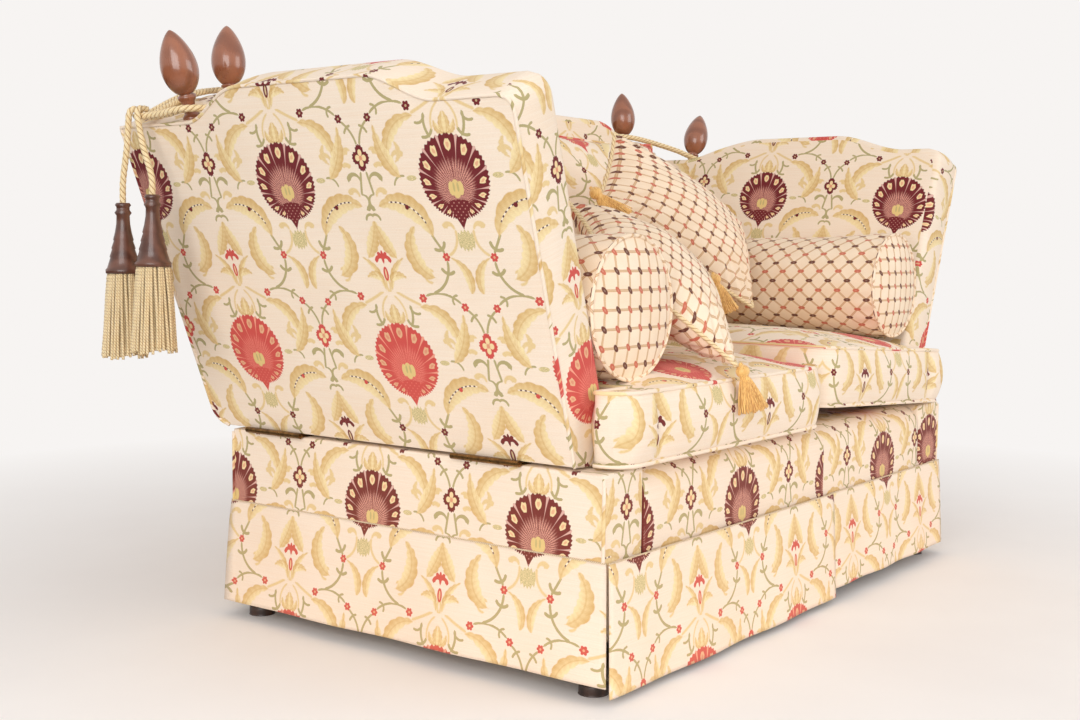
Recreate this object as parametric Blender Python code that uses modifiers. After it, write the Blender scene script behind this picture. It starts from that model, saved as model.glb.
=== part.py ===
"""A knole sofa with drop arms, in metres: +Z is up and the front faces -Y.

The leaning arms turn on brass butt hinges along the base. Two turns of rope tie each arm's
finial to the finial on the back's corner. The cushions lie loose and lift straight off.
"""

import math

import bmesh
import bpy
import numpy as np
from mathutils import Matrix, Vector
from mathutils.bvhtree import BVHTree

SIDES = {"left": -1, "right": 1}

# Clearances and cuts
CLEAR = 0.0003
OVERRUN = 0.02
MERGE = 0.00002

# Base
BASE_HALF_WIDTH = 0.726
BASE_HALF_DEPTH = 0.4465
BASE_TOP = 0.3747
ARM_BASE_THICKNESS = 0.121
ARM_BASE_ROUNDING = 0.010
FOOT_HEIGHT = 0.0997
RAIL_HEIGHT = 0.200
RAIL_THICKNESS = 0.030
BEARER_WIDTH = 0.060
BEARER_HEIGHT = 0.060
COVER_THICKNESS = 0.006
COVER_LOWER_EDGE = 0.222
FRONT_ROLL_DEPTH = 0.0862
FRONT_ROLL_RADIUS = 0.050
DECK_TOP = 0.374
DECK_ROUNDING = 0.004
DUST_COVER_THICKNESS = 0.003

# Feet
FOOT_INSET_X = 0.036
FOOT_INSET_Y = 0.0415
FOOT_RADIUS = 0.030

# Hinges
HINGE_OVERHANG = 0.007
LEAF_THICKNESS = 0.002
LEAF_SPACE = 0.002
LEAF_WIDTH = 0.035
HINGE_LENGTH = 0.150
KNUCKLES = 5
BARREL_RADIUS = 0.0055
PIN_RADIUS = 0.0020
BORE_RADIUS = 0.0023
PIN_END = 0.0020
BARREL_SIDES = 8
HINGE_DEPTH_SHARES = {"front": -0.456, "back": 0.722}

# Arms
ARM_LEAN = math.radians(18.45)
ARM_THICKNESS = 0.110
ARM_SLOPE = 0.609
ARM_FRONT_SETBACK = 0.0585
ARM_FRONT_RAKE = 0.015
ARM_REAR_OVERHANG = 0.0465
ARM_REAR_RAKE = 0.042
ARM_REAR_CORNER = 0.040
ARM_EDGE_ROUNDING = 0.012
HUMP_RISE = 0.060
HUMP_REAR_FOOT = 0.345
HUMP_REAR_TOP = 0.198
HUMP_FRONT_TOP = -0.120
HUMP_FRONT_FOOT = -0.250

# Back panel
BACK_RAKE = math.radians(4.17)
BACK_THICKNESS = 0.110
BACK_REAR_OVERHANG = 0.040
BACK_HEIGHT = 0.700
BACK_SIDE_GAP = 0.0065
BACK_FLAT_HALF = 0.530
BACK_CORNER_DROP = 0.068
BACK_FINIAL_DROP = 0.045
BACK_SHOULDER_SHARES = ((0.0, 0.0), (0.28, 0.16), (0.64, 0.66))
POST_OFFSET = 0.450
POST_WIDTH = 0.060
POST_DEPTH = 0.032
POST_TOP = 0.650
POST_FOOT_GAP = 0.010

# Finials
FINIAL_RADIUS = 0.0335
FINIAL_EGG = 0.120
FINIAL_FOOT_RADIUS = 0.017
ARM_FINIAL_STEM = 0.046
BACK_FINIAL_STEM = 0.022
ARM_FINIAL_Y = 0.3625
ARM_FINIAL_INSET = 0.032
BACK_FINIAL_X = 0.707
BACK_FINIAL_INSET = 0.065
FINIAL_STEM_SHARES = (
    (1.0, 0.0), (1.0, 0.12), (0.70, 0.24), (0.66, 0.55), (0.80, 0.72), (0.98, 0.82), (0.98, 0.92), (0.62, 1.0),
)
EGG_START_SHARE = 0.04
EGG_FULLNESS = 0.70
EGG_LOWNESS = 0.75
EGG_RINGS = 10

# Tie ropes and tassels
ROPE_DIAMETER = 0.012
ROPE_PITCH = 0.0142
TIE_TURNS = 2
TIE_ROUTE = (
    (0.915, 0.447, 0.9745), (0.868, 0.466, 0.9960), (0.800, 0.490, 1.0230), (0.748, 0.504, 1.0380),
    (0.707, 0.508, 1.0470), (0.680, 0.480, 1.0500), (0.703, 0.4533, 1.0470), (0.748, 0.430, 1.0390),
    (0.794, 0.400, 1.0260), (0.832, 0.370, 1.0120), (0.862, 0.345, 0.9952), (0.888, 0.338, 0.9866),
    (0.911, 0.349, 0.9830), (0.914, 0.378, 0.9760), (0.914, 0.412, 0.9745),
)
TAIL_ROUTES = {
    "back": (
        (0.9295, 0.4545, 0.9859), (0.9395, 0.4550, 0.9861), (0.9500, 0.4560, 0.9856), (0.9562, 0.4575, 0.9772),
        (0.9576, 0.4590, 0.9580), (0.9576, 0.4640, 0.9150), (0.9576, 0.4760, 0.8600), (0.9576, 0.4780, 0.8300),
        (0.9576, 0.4780, 0.8153),
    ),
    "front": (
        (0.9295, 0.4405, 0.9869), (0.9395, 0.4395, 0.9871), (0.9500, 0.4375, 0.9856), (0.9562, 0.4340, 0.9772),
        (0.9576, 0.4290, 0.9580), (0.9576, 0.4160, 0.9150), (0.9576, 0.3950, 0.8660), (0.9576, 0.3920, 0.8440),
        (0.9576, 0.3920, 0.8293),
    ),
}
SWING_AXIS = (0.9434, 0.447, 0.9745)
BELL_HEIGHT = 0.130
BELL_RADIUS = 0.033
BELL_SHARES = (
    (0.36, 0.0), (0.44, 0.03), (0.36, 0.06), (0.36, 0.10), (0.47, 0.14), (0.36, 0.18), (0.38, 0.30), (0.46, 0.42),
    (0.56, 0.52), (0.53, 0.54), (0.66, 0.64), (0.63, 0.66), (0.76, 0.76), (0.73, 0.78), (0.90, 0.92), (1.0, 0.95),
    (0.97, 1.0),
)
SKIRT_LENGTH = 0.160
SKIRT_TOP_RADIUS = 0.030
SKIRT_RADIUS = 0.043
SKIRT_STRANDS = 24
SKIRT_GROOVE_SHARE = 0.12

# Seat cushions
SEAT_HALF_WIDTH = 0.606
SEAT_EAR_REACH = 0.700
SEAT_FRONT = -0.465
SEAT_EAR_DEPTH = 0.0575
SEAT_BACK = 0.372
SEAT_JOIN = 0.041
SEAT_JOIN_GAP = 0.003
SEAT_LOW_WELT = 0.385
SEAT_TOP_WELT = 0.505
SEAT_CROWN = 0.045
SEAT_LOW_CROWNS = {"left": 0.012, "right": 0.060}
SEAT_TILTS = {"left": 0.0, "right": math.radians(3.6)}
SEAT_ACROSS_SHARES = (0.0, 0.30, 0.76, 1.0)
SEAT_ALONG_SHARES = (0.50, 1.0)
SEAM_CREASE = 0.85

# Loose cushions
BACK_CUSHION_OUTER = 0.600
BACK_CUSHION_LOW = 0.550
BACK_CUSHION_HEIGHT = 0.465
BACK_CUSHION_Y = 0.262
BACK_CUSHION_LEAN = 0.040
BACK_CUSHION_PLUMP = 0.135
BOLSTER_RADIUS = 0.1235
BOLSTER_AXIS = 0.5675
BOLSTER_FRONT = -0.390
BOLSTER_BACK = 0.118
BOLSTER_CROWN = 0.015
BOLSTER_WELT = 0.004
PILLOW_SIDE = 0.430
PILLOW_PLUMP = 0.115
PILLOW_DRAW_SHARE = 0.05
PILLOW_RIM = 0.006
PILLOW_CELLS = 3
FRONT_PILLOW_SHARES = (
    (-0.569, -0.016, 0.140), (-0.083, 0.317, 0.512), (-0.610, 0.412, 0.826), (-0.790, 0.230, 0.600),
)
REAR_PILLOW_SHARES = (
    (0.495, 0.364, 0.240), (0.790, 0.520, 0.710), (0.180, 0.600, 1.174), (0.105, 0.500, 0.686),
)
SEARCH_REACH = 0.250
CUSHION_TASSEL_LENGTH = 0.085
CUSHION_TASSEL_RADIUS = 0.015
CUSHION_TASSEL_SHARES = (
    (0.15, 0.0), (0.20, 0.05), (0.70, 0.12), (0.80, 0.22), (0.50, 0.32), (0.62, 0.38), (0.85, 0.70), (1.0, 1.0),
)
CUSHION_TASSEL_LEANS = {0: (0.10, -0.25, -1.0), 1: (0.25, -0.20, -1.0), 2: (0.55, -0.30, -0.60)}

# Valances
VALANCE_TOP = 0.231
VALANCE_THICKNESS = 0.003
VALANCE_HEM = 0.030
VALANCE_LEFT_FRONT_HEM = 0.013
VALANCE_FLARE = 0.012
VALANCE_WAVE = 0.006
VALANCE_WAVE_LENGTH = 0.230
VALANCE_COLUMN_LENGTH = 0.058
VALANCE_RETURN = 0.066
VALANCE_SPLIT = 0.110
VALANCE_LAP = 0.010
VALANCE_ROWS = 3

# Places worked out from the sizes above
FRAME_BOTTOM = FOOT_HEIGHT + CLEAR
RAIL_TOP = FRAME_BOTTOM + RAIL_HEIGHT
INNER_HALF = BASE_HALF_WIDTH - ARM_BASE_THICKNESS - CLEAR
HINGE_X = BASE_HALF_WIDTH + HINGE_OVERHANG
HINGE_Z = BASE_TOP + CLEAR + LEAF_THICKNESS + LEAF_SPACE / 2
ARM_BOTTOM = HINGE_Z + LEAF_SPACE / 2 + LEAF_THICKNESS + CLEAR
BACK_BOTTOM = BASE_TOP + CLEAR
POST_REAR = BASE_HALF_DEPTH - COVER_THICKNESS - CLEAR
BACK_RAIL_REAR = POST_REAR - POST_DEPTH - CLEAR
BACK_RAIL_FRONT = BACK_RAIL_REAR - RAIL_THICKNESS
FRONT_RAIL_FRONT = CLEAR + COVER_THICKNESS - BASE_HALF_DEPTH
FRONT_RAIL_REAR = FRONT_RAIL_FRONT + RAIL_THICKNESS
SEAT_MIDDLE_Z = (SEAT_LOW_WELT + SEAT_TOP_WELT) / 2


def new_collection(name):
    made = bpy.data.collections.new(name)
    bpy.context.scene.collection.children.link(made)
    return made


def clear_scene():
    for obj in list(bpy.data.objects):
        bpy.data.objects.remove(obj, do_unlink=True)


def new_material(name, colour, roughness, metallic=0.0):
    made = bpy.data.materials.new(name)
    made.use_nodes = True
    shader = made.node_tree.nodes["Principled BSDF"]
    shader.inputs["Base Color"].default_value = (*colour, 1.0)
    shader.inputs["Roughness"].default_value = roughness
    shader.inputs["Metallic"].default_value = metallic
    return made


clear_scene()
PARTS = new_collection("knole_sofa")
CUTTERS = new_collection("cutters")
DAMASK = new_material("damask_cloth", (0.80, 0.62, 0.45), 0.85)
LATTICE = new_material("lattice_cloth", (0.88, 0.76, 0.58), 0.85)
ROPE = new_material("gold_rope", (0.80, 0.60, 0.33), 0.70)
FRINGE = new_material("gold_fringe", (0.83, 0.62, 0.32), 0.75)
MAHOGANY = new_material("polished_mahogany", (0.20, 0.08, 0.04), 0.22)
DARK_WOOD = new_material("dark_wood", (0.05, 0.03, 0.02), 0.40)
FRAME_WOOD = new_material("frame_wood", (0.60, 0.43, 0.26), 0.70)
LINING = new_material("black_lining", (0.03, 0.03, 0.03), 0.90)
BRASS = new_material("brass", (0.72, 0.50, 0.22), 0.30, 1.0)


def attach(obj, parent):
    """Parents obj and leaves it where it stands."""
    if parent is not None:
        bpy.context.view_layer.update()
        obj.parent = parent
        obj.matrix_parent_inverse = parent.matrix_world.inverted()


def add_object(name, data, material, parent, matrix, collection=None):
    data.materials.append(material)
    made = bpy.data.objects.new(name, data)
    (collection or PARTS).objects.link(made)
    made.matrix_world = matrix
    attach(made, parent)
    return made


def add_bmesh(name, bm, material, parent, matrix):
    mesh = bpy.data.meshes.new(name)
    bmesh.ops.recalc_face_normals(bm, faces=bm.faces)
    if bm.calc_volume(signed=True) < 0:
        bmesh.ops.reverse_faces(bm, faces=bm.faces)
    bm.to_mesh(mesh)
    bm.free()
    return add_object(name, mesh, material, parent, matrix)


def pivot(name, place, parent):
    made = bpy.data.objects.new(name, None)
    PARTS.objects.link(made)
    made.location = place
    attach(made, parent)
    return made


def axes(x_axis, y_axis, z_axis, origin):
    turned_axes = Matrix((x_axis, y_axis, z_axis)).transposed()
    return Matrix.Translation(Vector(origin)) @ turned_axes.to_4x4()


def along(direction, origin):
    """A place whose Z axis points along direction."""
    turn = Vector((0, 0, 1)).rotation_difference(Vector(direction))
    return Matrix.Translation(Vector(origin)) @ turn.to_matrix().to_4x4()


def add_bevel(obj, width, segments=2):
    bevel = obj.modifiers.new("Rounded edges", "BEVEL")
    bevel.width = width
    bevel.segments = segments
    bevel.limit_method = "ANGLE"


def add_subdivision(obj, levels=2):
    subdivision = obj.modifiers.new("Soft form", "SUBSURF")
    subdivision.levels = levels
    subdivision.render_levels = levels
    obj.data.shade_smooth()


def add_boolean(obj, operation, cutter):
    boolean = obj.modifiers.new(operation.title(), "BOOLEAN")
    boolean.operation = operation
    boolean.object = cutter
    cutter.hide_render = True
    cutter.display_type = "WIRE"
    for home in cutter.users_collection:
        home.objects.unlink(cutter)
    CUTTERS.objects.link(cutter)


def box_into(bm, low, high):
    low, high = Vector(low), Vector(high)
    middle = (low + high) / 2
    sizes = Matrix.Diagonal((*(high - low), 1.0))
    bmesh.ops.create_cube(bm, size=1, matrix=Matrix.Translation(middle) @ sizes)


def box(name, low, high, material, parent, rounding=None):
    """A box between two corners, with its origin at its middle."""
    middle = (Vector(low) + Vector(high)) / 2
    bm = bmesh.new()
    box_into(bm, Vector(low) - middle, Vector(high) - middle)
    made = add_bmesh(name, bm, material, parent, Matrix.Translation(middle))
    if rounding:
        add_bevel(made, rounding)
    return made


def outline_mesh(name, outlines, thickness, one_face=True):
    """A flat outline, with any holes in it, made a slab of this thickness."""
    curve = bpy.data.curves.new(name, "CURVE")
    curve.dimensions = "2D"
    curve.fill_mode = "BOTH"
    curve.extrude = thickness / 2
    for outline in outlines:
        spline = curve.splines.new("POLY")
        spline.points.add(len(outline) - 1)
        for point, (across, up) in zip(spline.points, outline):
            point.co = (across, up, 0, 1)
        spline.use_cyclic_u = True
    flat = bpy.data.objects.new(name, curve)
    CUTTERS.objects.link(flat)
    graph = bpy.context.evaluated_depsgraph_get()
    mesh = bpy.data.meshes.new_from_object(flat.evaluated_get(graph))
    bpy.data.objects.remove(flat)
    bm = bmesh.new()
    bm.from_mesh(mesh)
    bmesh.ops.remove_doubles(bm, verts=bm.verts, dist=MERGE)
    if one_face:
        bmesh.ops.dissolve_limit(bm, angle_limit=math.radians(0.5), verts=bm.verts, edges=bm.edges)
    bmesh.ops.recalc_face_normals(bm, faces=bm.faces)
    bm.to_mesh(mesh)
    bm.free()
    return mesh


def turned(name, profile, steps, material, parent, matrix):
    """A profile of (radius, height) points, from the top down its outer side, turned about Z."""
    mesh = bpy.data.meshes.new(name)
    points = [(radius, 0, height) for radius, height in profile]
    mesh.from_pydata(points, [(i, i + 1) for i in range(len(points) - 1)], [])
    made = add_object(name, mesh, material, parent, matrix)
    screw = made.modifiers.new("Turning", "SCREW")
    screw.steps = steps
    screw.render_steps = steps
    screw.use_merge_vertices = True
    screw.merge_threshold = MERGE
    return made


def shared_profile(shares, radius, length, top=0.0):
    """Turns (radius share, depth share) pairs into a closed profile, from the top down."""
    outer = [(radius * across, top - length * down) for across, down in shares]
    return [(0.0, outer[0][1]), *outer, (0.0, outer[-1][1])]


def smooth_route(route, per_span, closed=False):
    """Points of a Catmull-Rom curve through the route's own points."""
    points = np.array(route, dtype=float)
    count = len(points)
    spans = count if closed else count - 1
    made = []
    for span in range(spans):
        around = [span - 1, span, span + 1, span + 2]
        picked = [i % count if closed else min(max(i, 0), count - 1) for i in around]
        before, start, end, after = points[picked]
        for step in range(per_span):
            t = step / per_span
            bend = 2 * before - 5 * start + 4 * end - after
            twist = -before + 3 * start - 3 * end + after
            made.append((2 * start + (end - before) * t + bend * t**2 + twist * t**3) / 2)
    if not closed:
        made.append(points[-1])
    return np.array(made)


def tube(name, points, radius, resolution, material, parent, origin):
    curve = bpy.data.curves.new(name, "CURVE")
    curve.dimensions = "3D"
    curve.bevel_depth = radius
    curve.bevel_resolution = resolution
    curve.use_fill_caps = True
    spline = curve.splines.new("POLY")
    spline.points.add(len(points) - 1)
    for point, place in zip(spline.points, points):
        point.co = (*(Vector(place) - Vector(origin)), 1)
    return add_object(name, curve, material, parent, Matrix.Translation(Vector(origin)))


def grid_bmesh(columns, rows, place):
    """A grid whose vertex at column i and row j lies at place(i, j)."""
    bm = bmesh.new()
    bmesh.ops.create_grid(bm, x_segments=columns, y_segments=rows, size=1)
    reach_x = max(vert.co.x for vert in bm.verts)
    reach_y = max(vert.co.y for vert in bm.verts)
    for vert in bm.verts:
        i = round((vert.co.x / reach_x + 1) / 2 * columns)
        j = round((vert.co.y / reach_y + 1) / 2 * rows)
        vert.co = place(i, j)
    return bm


def inner_face(height):
    """How far out the arm's inner face stands at a height."""
    outer = BASE_HALF_WIDTH + (height - ARM_BOTTOM) * math.tan(ARM_LEAN)
    return outer - ARM_THICKNESS / math.cos(ARM_LEAN)


def ease(start, end, value):
    """0 at start, 1 at end, with a smooth run between."""
    t = min(max((value - start) / (end - start), 0), 1)
    return t * t * (3 - 2 * t)


# Base

def make_arm_base(side, parent):
    edges = sorted((SIDES[side] * BASE_HALF_WIDTH, SIDES[side] * (INNER_HALF + CLEAR)))
    return box(
        f"{side}_arm_base",
        (edges[0], -BASE_HALF_DEPTH, FRAME_BOTTOM),
        (edges[1], BASE_HALF_DEPTH, BASE_TOP),
        DAMASK, parent, ARM_BASE_ROUNDING,
    )


def make_rails(parent):
    rails = (("front_rail", FRONT_RAIL_FRONT), ("back_rail", BACK_RAIL_FRONT))
    for name, front in rails:
        low = (-INNER_HALF, front, FRAME_BOTTOM)
        high = (INNER_HALF, front + RAIL_THICKNESS, RAIL_TOP)
        box(name, low, high, FRAME_WOOD, parent)
    low = (-BEARER_WIDTH / 2, FRONT_RAIL_REAR + CLEAR, RAIL_TOP - BEARER_HEIGHT)
    high = (BEARER_WIDTH / 2, BACK_RAIL_FRONT - CLEAR, RAIL_TOP)
    box("seat_bearer", low, high, FRAME_WOOD, parent)


def make_deck(parent):
    front = FRONT_ROLL_DEPTH - BASE_HALF_DEPTH
    low = (-INNER_HALF, front + CLEAR, RAIL_TOP + CLEAR)
    high = (INNER_HALF, BACK_RAIL_FRONT - CLEAR, DECK_TOP)
    box("seat_deck", low, high, LINING, parent, DECK_ROUNDING)
    low = (-INNER_HALF, FRONT_RAIL_REAR + CLEAR, FRAME_BOTTOM)
    high = (INNER_HALF, BACK_RAIL_FRONT - CLEAR, FRAME_BOTTOM + DUST_COVER_THICKNESS)
    box("dust_cover", low, high, LINING, parent)


def make_front_border(parent):
    """The padded front of the seat platform, rolled over the front rail."""
    front = -BASE_HALF_DEPTH
    roll = [
        (
            front + FRONT_ROLL_RADIUS * (1 - math.cos(angle)),
            DECK_TOP - FRONT_ROLL_RADIUS * (1 - math.sin(angle)),
        )
        for angle in np.radians(np.linspace(0, 90, 6))
    ]
    outline = [
        (front, COVER_LOWER_EDGE),
        *roll,
        (front + FRONT_ROLL_DEPTH, DECK_TOP),
        (front + FRONT_ROLL_DEPTH, RAIL_TOP + CLEAR),
        (front + COVER_THICKNESS, RAIL_TOP + CLEAR),
        (front + COVER_THICKNESS, COVER_LOWER_EDGE),
    ]
    mesh = outline_mesh("front_border", [outline], 2 * INNER_HALF)
    place = axes((0, 1, 0), (0, 0, 1), (1, 0, 0), (0, 0, 0))
    return add_object("front_border", mesh, DAMASK, parent, place)


def make_back_border(parent):
    low = (-INNER_HALF, POST_REAR + CLEAR, COVER_LOWER_EDGE)
    high = (INNER_HALF, BASE_HALF_DEPTH, BASE_TOP)
    return box("back_border", low, high, DAMASK, parent)


def make_feet(parent):
    shares = ((0.83, 0.0), (0.83, 0.16), (0.72, 0.22), (0.90, 0.36), (1.0, 0.52), (0.92, 0.70), (0.70, 0.88), (0.62, 1.0))
    profile = shared_profile(shares, FOOT_RADIUS, FOOT_HEIGHT, FOOT_HEIGHT)
    for end, way in (("front", -1), ("back", 1)):
        for side, sign in SIDES.items():
            place = (sign * (BASE_HALF_WIDTH - FOOT_INSET_X), way * (BASE_HALF_DEPTH - FOOT_INSET_Y), 0)
            turned(f"{side}_{end}_foot", profile, 14, DARK_WOOD, parent, Matrix.Translation(place))


# Valances

def valance_columns(corners):
    """Plan points along the base, each with the way out from it and its share of a wave."""
    corners = [Vector(corner) for corner in corners]
    columns = []
    before = Vector((0, 0))
    for start, end in zip(corners, corners[1:]):
        run = end - start
        out = Vector((run.y, -run.x)).normalized()
        count = max(1, round(run.length / VALANCE_COLUMN_LENGTH))
        waves = int(run.length / VALANCE_WAVE_LENGTH)
        for step in range(count):
            way = out + before if step == 0 else out
            columns.append((start + run * step / count, way, 1 - math.cos(2 * math.pi * waves * step / count)))
        before = out
    columns.append((corners[-1], before, 0.0))
    return columns


def make_valance(name, corners, gap, hem, parent):
    """A hanging panel of cloth: it stands further out towards the hem, in slow waves."""
    columns = valance_columns(corners)

    def place(i, j):
        point, out, swell = columns[i]
        down = 1 - j / VALANCE_ROWS
        stand = gap + VALANCE_THICKNESS / 2 + VALANCE_FLARE * down**0.7 + VALANCE_WAVE * down * swell / 2
        spot = point + out * stand
        return (spot.x, spot.y, VALANCE_TOP + (hem - VALANCE_TOP) * down)

    bm = grid_bmesh(len(columns) - 1, VALANCE_ROWS, place)
    made = add_bmesh(name, bm, DAMASK, parent, Matrix.Identity(4))
    cloth = made.modifiers.new("Cloth thickness", "SOLIDIFY")
    cloth.thickness = VALANCE_THICKNESS
    cloth.offset = 0
    return made


def make_valances(parent):
    width, depth = BASE_HALF_WIDTH, BASE_HALF_DEPTH
    turn = width - VALANCE_RETURN
    over = VALANCE_THICKNESS + 3 * CLEAR
    right = [(turn, -depth), (width, -depth), (width, depth), (turn, depth)]
    left = [(-x, y) for x, y in reversed(right)]
    make_valance("right_side_valance", right, CLEAR, VALANCE_HEM, parent)
    make_valance("left_side_valance", left, CLEAR, VALANCE_HEM, parent)
    back = [(width, depth), (-width, depth)]
    make_valance("back_valance", back, CLEAR + over, VALANCE_HEM, parent)
    split_right = [(VALANCE_SPLIT - VALANCE_LAP / 2, -depth), (width, -depth)]
    split_left = [(-width, -depth), (VALANCE_SPLIT + VALANCE_LAP / 2, -depth)]
    make_valance("right_front_valance", split_right, CLEAR + over, VALANCE_HEM, parent)
    lap = CLEAR + 2 * over + VALANCE_WAVE / 8
    make_valance("left_front_valance", split_left, lap, VALANCE_LEFT_FRONT_HEM, parent)


# Hinges

def leaf_outline(above):
    """A leaf's cross-section: a flat plate that runs into the round of its knuckles."""
    near, far = LEAF_SPACE / 2, LEAF_SPACE / 2 + LEAF_THICKNESS
    start = math.pi + math.asin(near / BARREL_RADIUS)
    end = math.asin(far / BARREL_RADIUS) - math.pi
    angles = np.linspace(start, end, BARREL_SIDES + 1)
    barrel = [(BARREL_RADIUS * math.cos(a), BARREL_RADIUS * math.sin(a)) for a in angles]
    outline = [*barrel, (-LEAF_WIDTH, -far), (-LEAF_WIDTH, -near)]
    return [(x, above * -z) for x, z in outline]


def knuckle_cutter(name, owned, parent, matrix):
    """Blocks that clear the knuckles of the other leaf."""
    bm = bmesh.new()
    knuckle = HINGE_LENGTH / KNUCKLES
    for number in range(KNUCKLES):
        if number % 2 == owned:
            continue
        low = number * knuckle - HINGE_LENGTH / 2 - CLEAR / 2
        high = low + knuckle + CLEAR
        low -= OVERRUN if number == 0 else 0
        high += OVERRUN if number == KNUCKLES - 1 else 0
        reach = BARREL_RADIUS + OVERRUN
        box_into(bm, (-BARREL_RADIUS - CLEAR, -reach, low), (reach, reach, high))
    return add_bmesh(name, bm, BRASS, parent, matrix)


def make_hinge(side, end, base, arm):
    sign = SIDES[side]
    y = HINGE_DEPTH_SHARES[end] * BASE_HALF_DEPTH
    place = axes((sign, 0, 0), (0, 0, 1), (0, -sign, 0), (sign * HINGE_X, y, HINGE_Z))
    name = f"{side}_{end}_hinge_base_leaf"
    base_leaf = add_object(name, outline_mesh(name, [leaf_outline(-1)], HINGE_LENGTH), BRASS, base, place)
    add_boolean(base_leaf, "DIFFERENCE", knuckle_cutter(f"{name}_gaps", 0, base, place))
    bm = bmesh.new()
    bmesh.ops.create_cone(
        bm, cap_ends=True, segments=BARREL_SIDES, radius1=PIN_RADIUS, radius2=PIN_RADIUS,
        depth=HINGE_LENGTH + 2 * PIN_END,
    )
    pin = add_bmesh(f"{name}_pin", bm, BRASS, base, place)
    add_boolean(base_leaf, "UNION", pin)
    name = f"{side}_{end}_hinge_arm_leaf"
    turns = 2 * math.pi * np.arange(BARREL_SIDES) / BARREL_SIDES
    bore = [(BORE_RADIUS * math.cos(turn), BORE_RADIUS * math.sin(turn)) for turn in turns]
    mesh = outline_mesh(name, [leaf_outline(1), bore], HINGE_LENGTH, False)
    arm_leaf = add_object(name, mesh, BRASS, arm, place)
    add_boolean(arm_leaf, "DIFFERENCE", knuckle_cutter(f"{name}_gaps", 1, arm, place))


# Arms and back

def arm_frame(side):
    """The arm slab's axes: along the sofa, up the lean, and across the slab."""
    sign = SIDES[side]
    lean_sin, lean_cos = math.sin(ARM_LEAN), math.cos(ARM_LEAN)
    up = Vector((sign * lean_sin, 0, lean_cos))
    out = Vector((sign * lean_cos, 0, -lean_sin))
    edge = Vector((sign * BASE_HALF_WIDTH, 0, ARM_BOTTOM))
    return up, out, edge


def arm_outline():
    """The arm seen square on: y along the sofa, and the distance up the slope."""
    below = -ARM_THICKNESS * math.tan(ARM_LEAN) - OVERRUN
    front = ARM_FRONT_SETBACK - BASE_HALF_DEPTH
    rear = BASE_HALF_DEPTH + ARM_REAR_OVERHANG
    corner = [
        (rear - ARM_REAR_CORNER * (1 - math.sin(a)), ARM_REAR_CORNER * (1 - math.cos(a)))
        for a in np.radians(np.linspace(0, 90, 5))
    ]
    rear_slope = np.linspace(HUMP_REAR_FOOT, HUMP_REAR_TOP, 8)
    front_slope = np.linspace(HUMP_FRONT_TOP, HUMP_FRONT_FOOT, 8)
    rises = [
        (y, ARM_SLOPE + HUMP_RISE * ease(HUMP_REAR_FOOT, HUMP_REAR_TOP, y)) for y in rear_slope
    ]
    falls = [
        (y, ARM_SLOPE + HUMP_RISE * ease(HUMP_FRONT_FOOT, HUMP_FRONT_TOP, y)) for y in front_slope
    ]
    return [
        (front, below),
        (rear - ARM_REAR_CORNER, below),
        *corner,
        (rear + ARM_REAR_RAKE, ARM_SLOPE),
        *rises,
        *falls,
        (front - ARM_FRONT_RAKE, ARM_SLOPE),
    ]


def make_arm_panel(side, parent):
    up, out, edge = arm_frame(side)
    across = Vector((0, 1, 0)).cross(up)
    name = f"{side}_arm_panel"
    mesh = outline_mesh(name, [arm_outline()], ARM_THICKNESS)
    place = axes((0, 1, 0), up, across, edge - out * ARM_THICKNESS / 2)
    made = add_object(name, mesh, DAMASK, parent, place)
    add_bevel(made, ARM_EDGE_ROUNDING)
    reach = BASE_HALF_DEPTH + ARM_REAR_OVERHANG + OVERRUN
    inner, outer = sorted((SIDES[side] * (BASE_HALF_WIDTH - 2 * ARM_THICKNESS), SIDES[side] * (HINGE_X + OVERRUN)))
    low = (inner, -reach, ARM_BOTTOM - 2 * ARM_THICKNESS)
    cutter = box(f"{name}_bottom", low, (outer, reach, ARM_BOTTOM), DAMASK, parent)
    add_boolean(made, "DIFFERENCE", cutter)
    return made


def back_frame():
    """The back slab's axes: across, up the rake, forwards, and the foot of its rear face."""
    up = Vector((0, math.sin(BACK_RAKE), math.cos(BACK_RAKE)))
    ahead = Vector((1, 0, 0)).cross(up)
    foot = Vector((0, BASE_HALF_DEPTH + BACK_REAR_OVERHANG, BACK_BOTTOM))
    return up, ahead, foot


def back_half_width(slope):
    return inner_face(BACK_BOTTOM + slope * math.cos(BACK_RAKE)) - BACK_SIDE_GAP


def back_outline():
    """The back seen square on: its top falls from the flat to the finials' seats."""
    seat = 1.3 * FINIAL_FOOT_RADIUS
    seat_in, seat_out = BACK_FINIAL_X - seat, BACK_FINIAL_X + seat
    corner = BACK_HEIGHT - BACK_CORNER_DROP
    half = [(back_half_width(0), 0), (back_half_width(corner), corner)]
    half += [(x, BACK_HEIGHT - BACK_FINIAL_DROP) for x in (seat_out, seat_in)]
    for run, drop in reversed(BACK_SHOULDER_SHARES):
        half.append((BACK_FLAT_HALF + run * (seat_in - BACK_FLAT_HALF), BACK_HEIGHT - drop * BACK_FINIAL_DROP))
    return half + [(-x, z) for x, z in reversed(half)]


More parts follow.
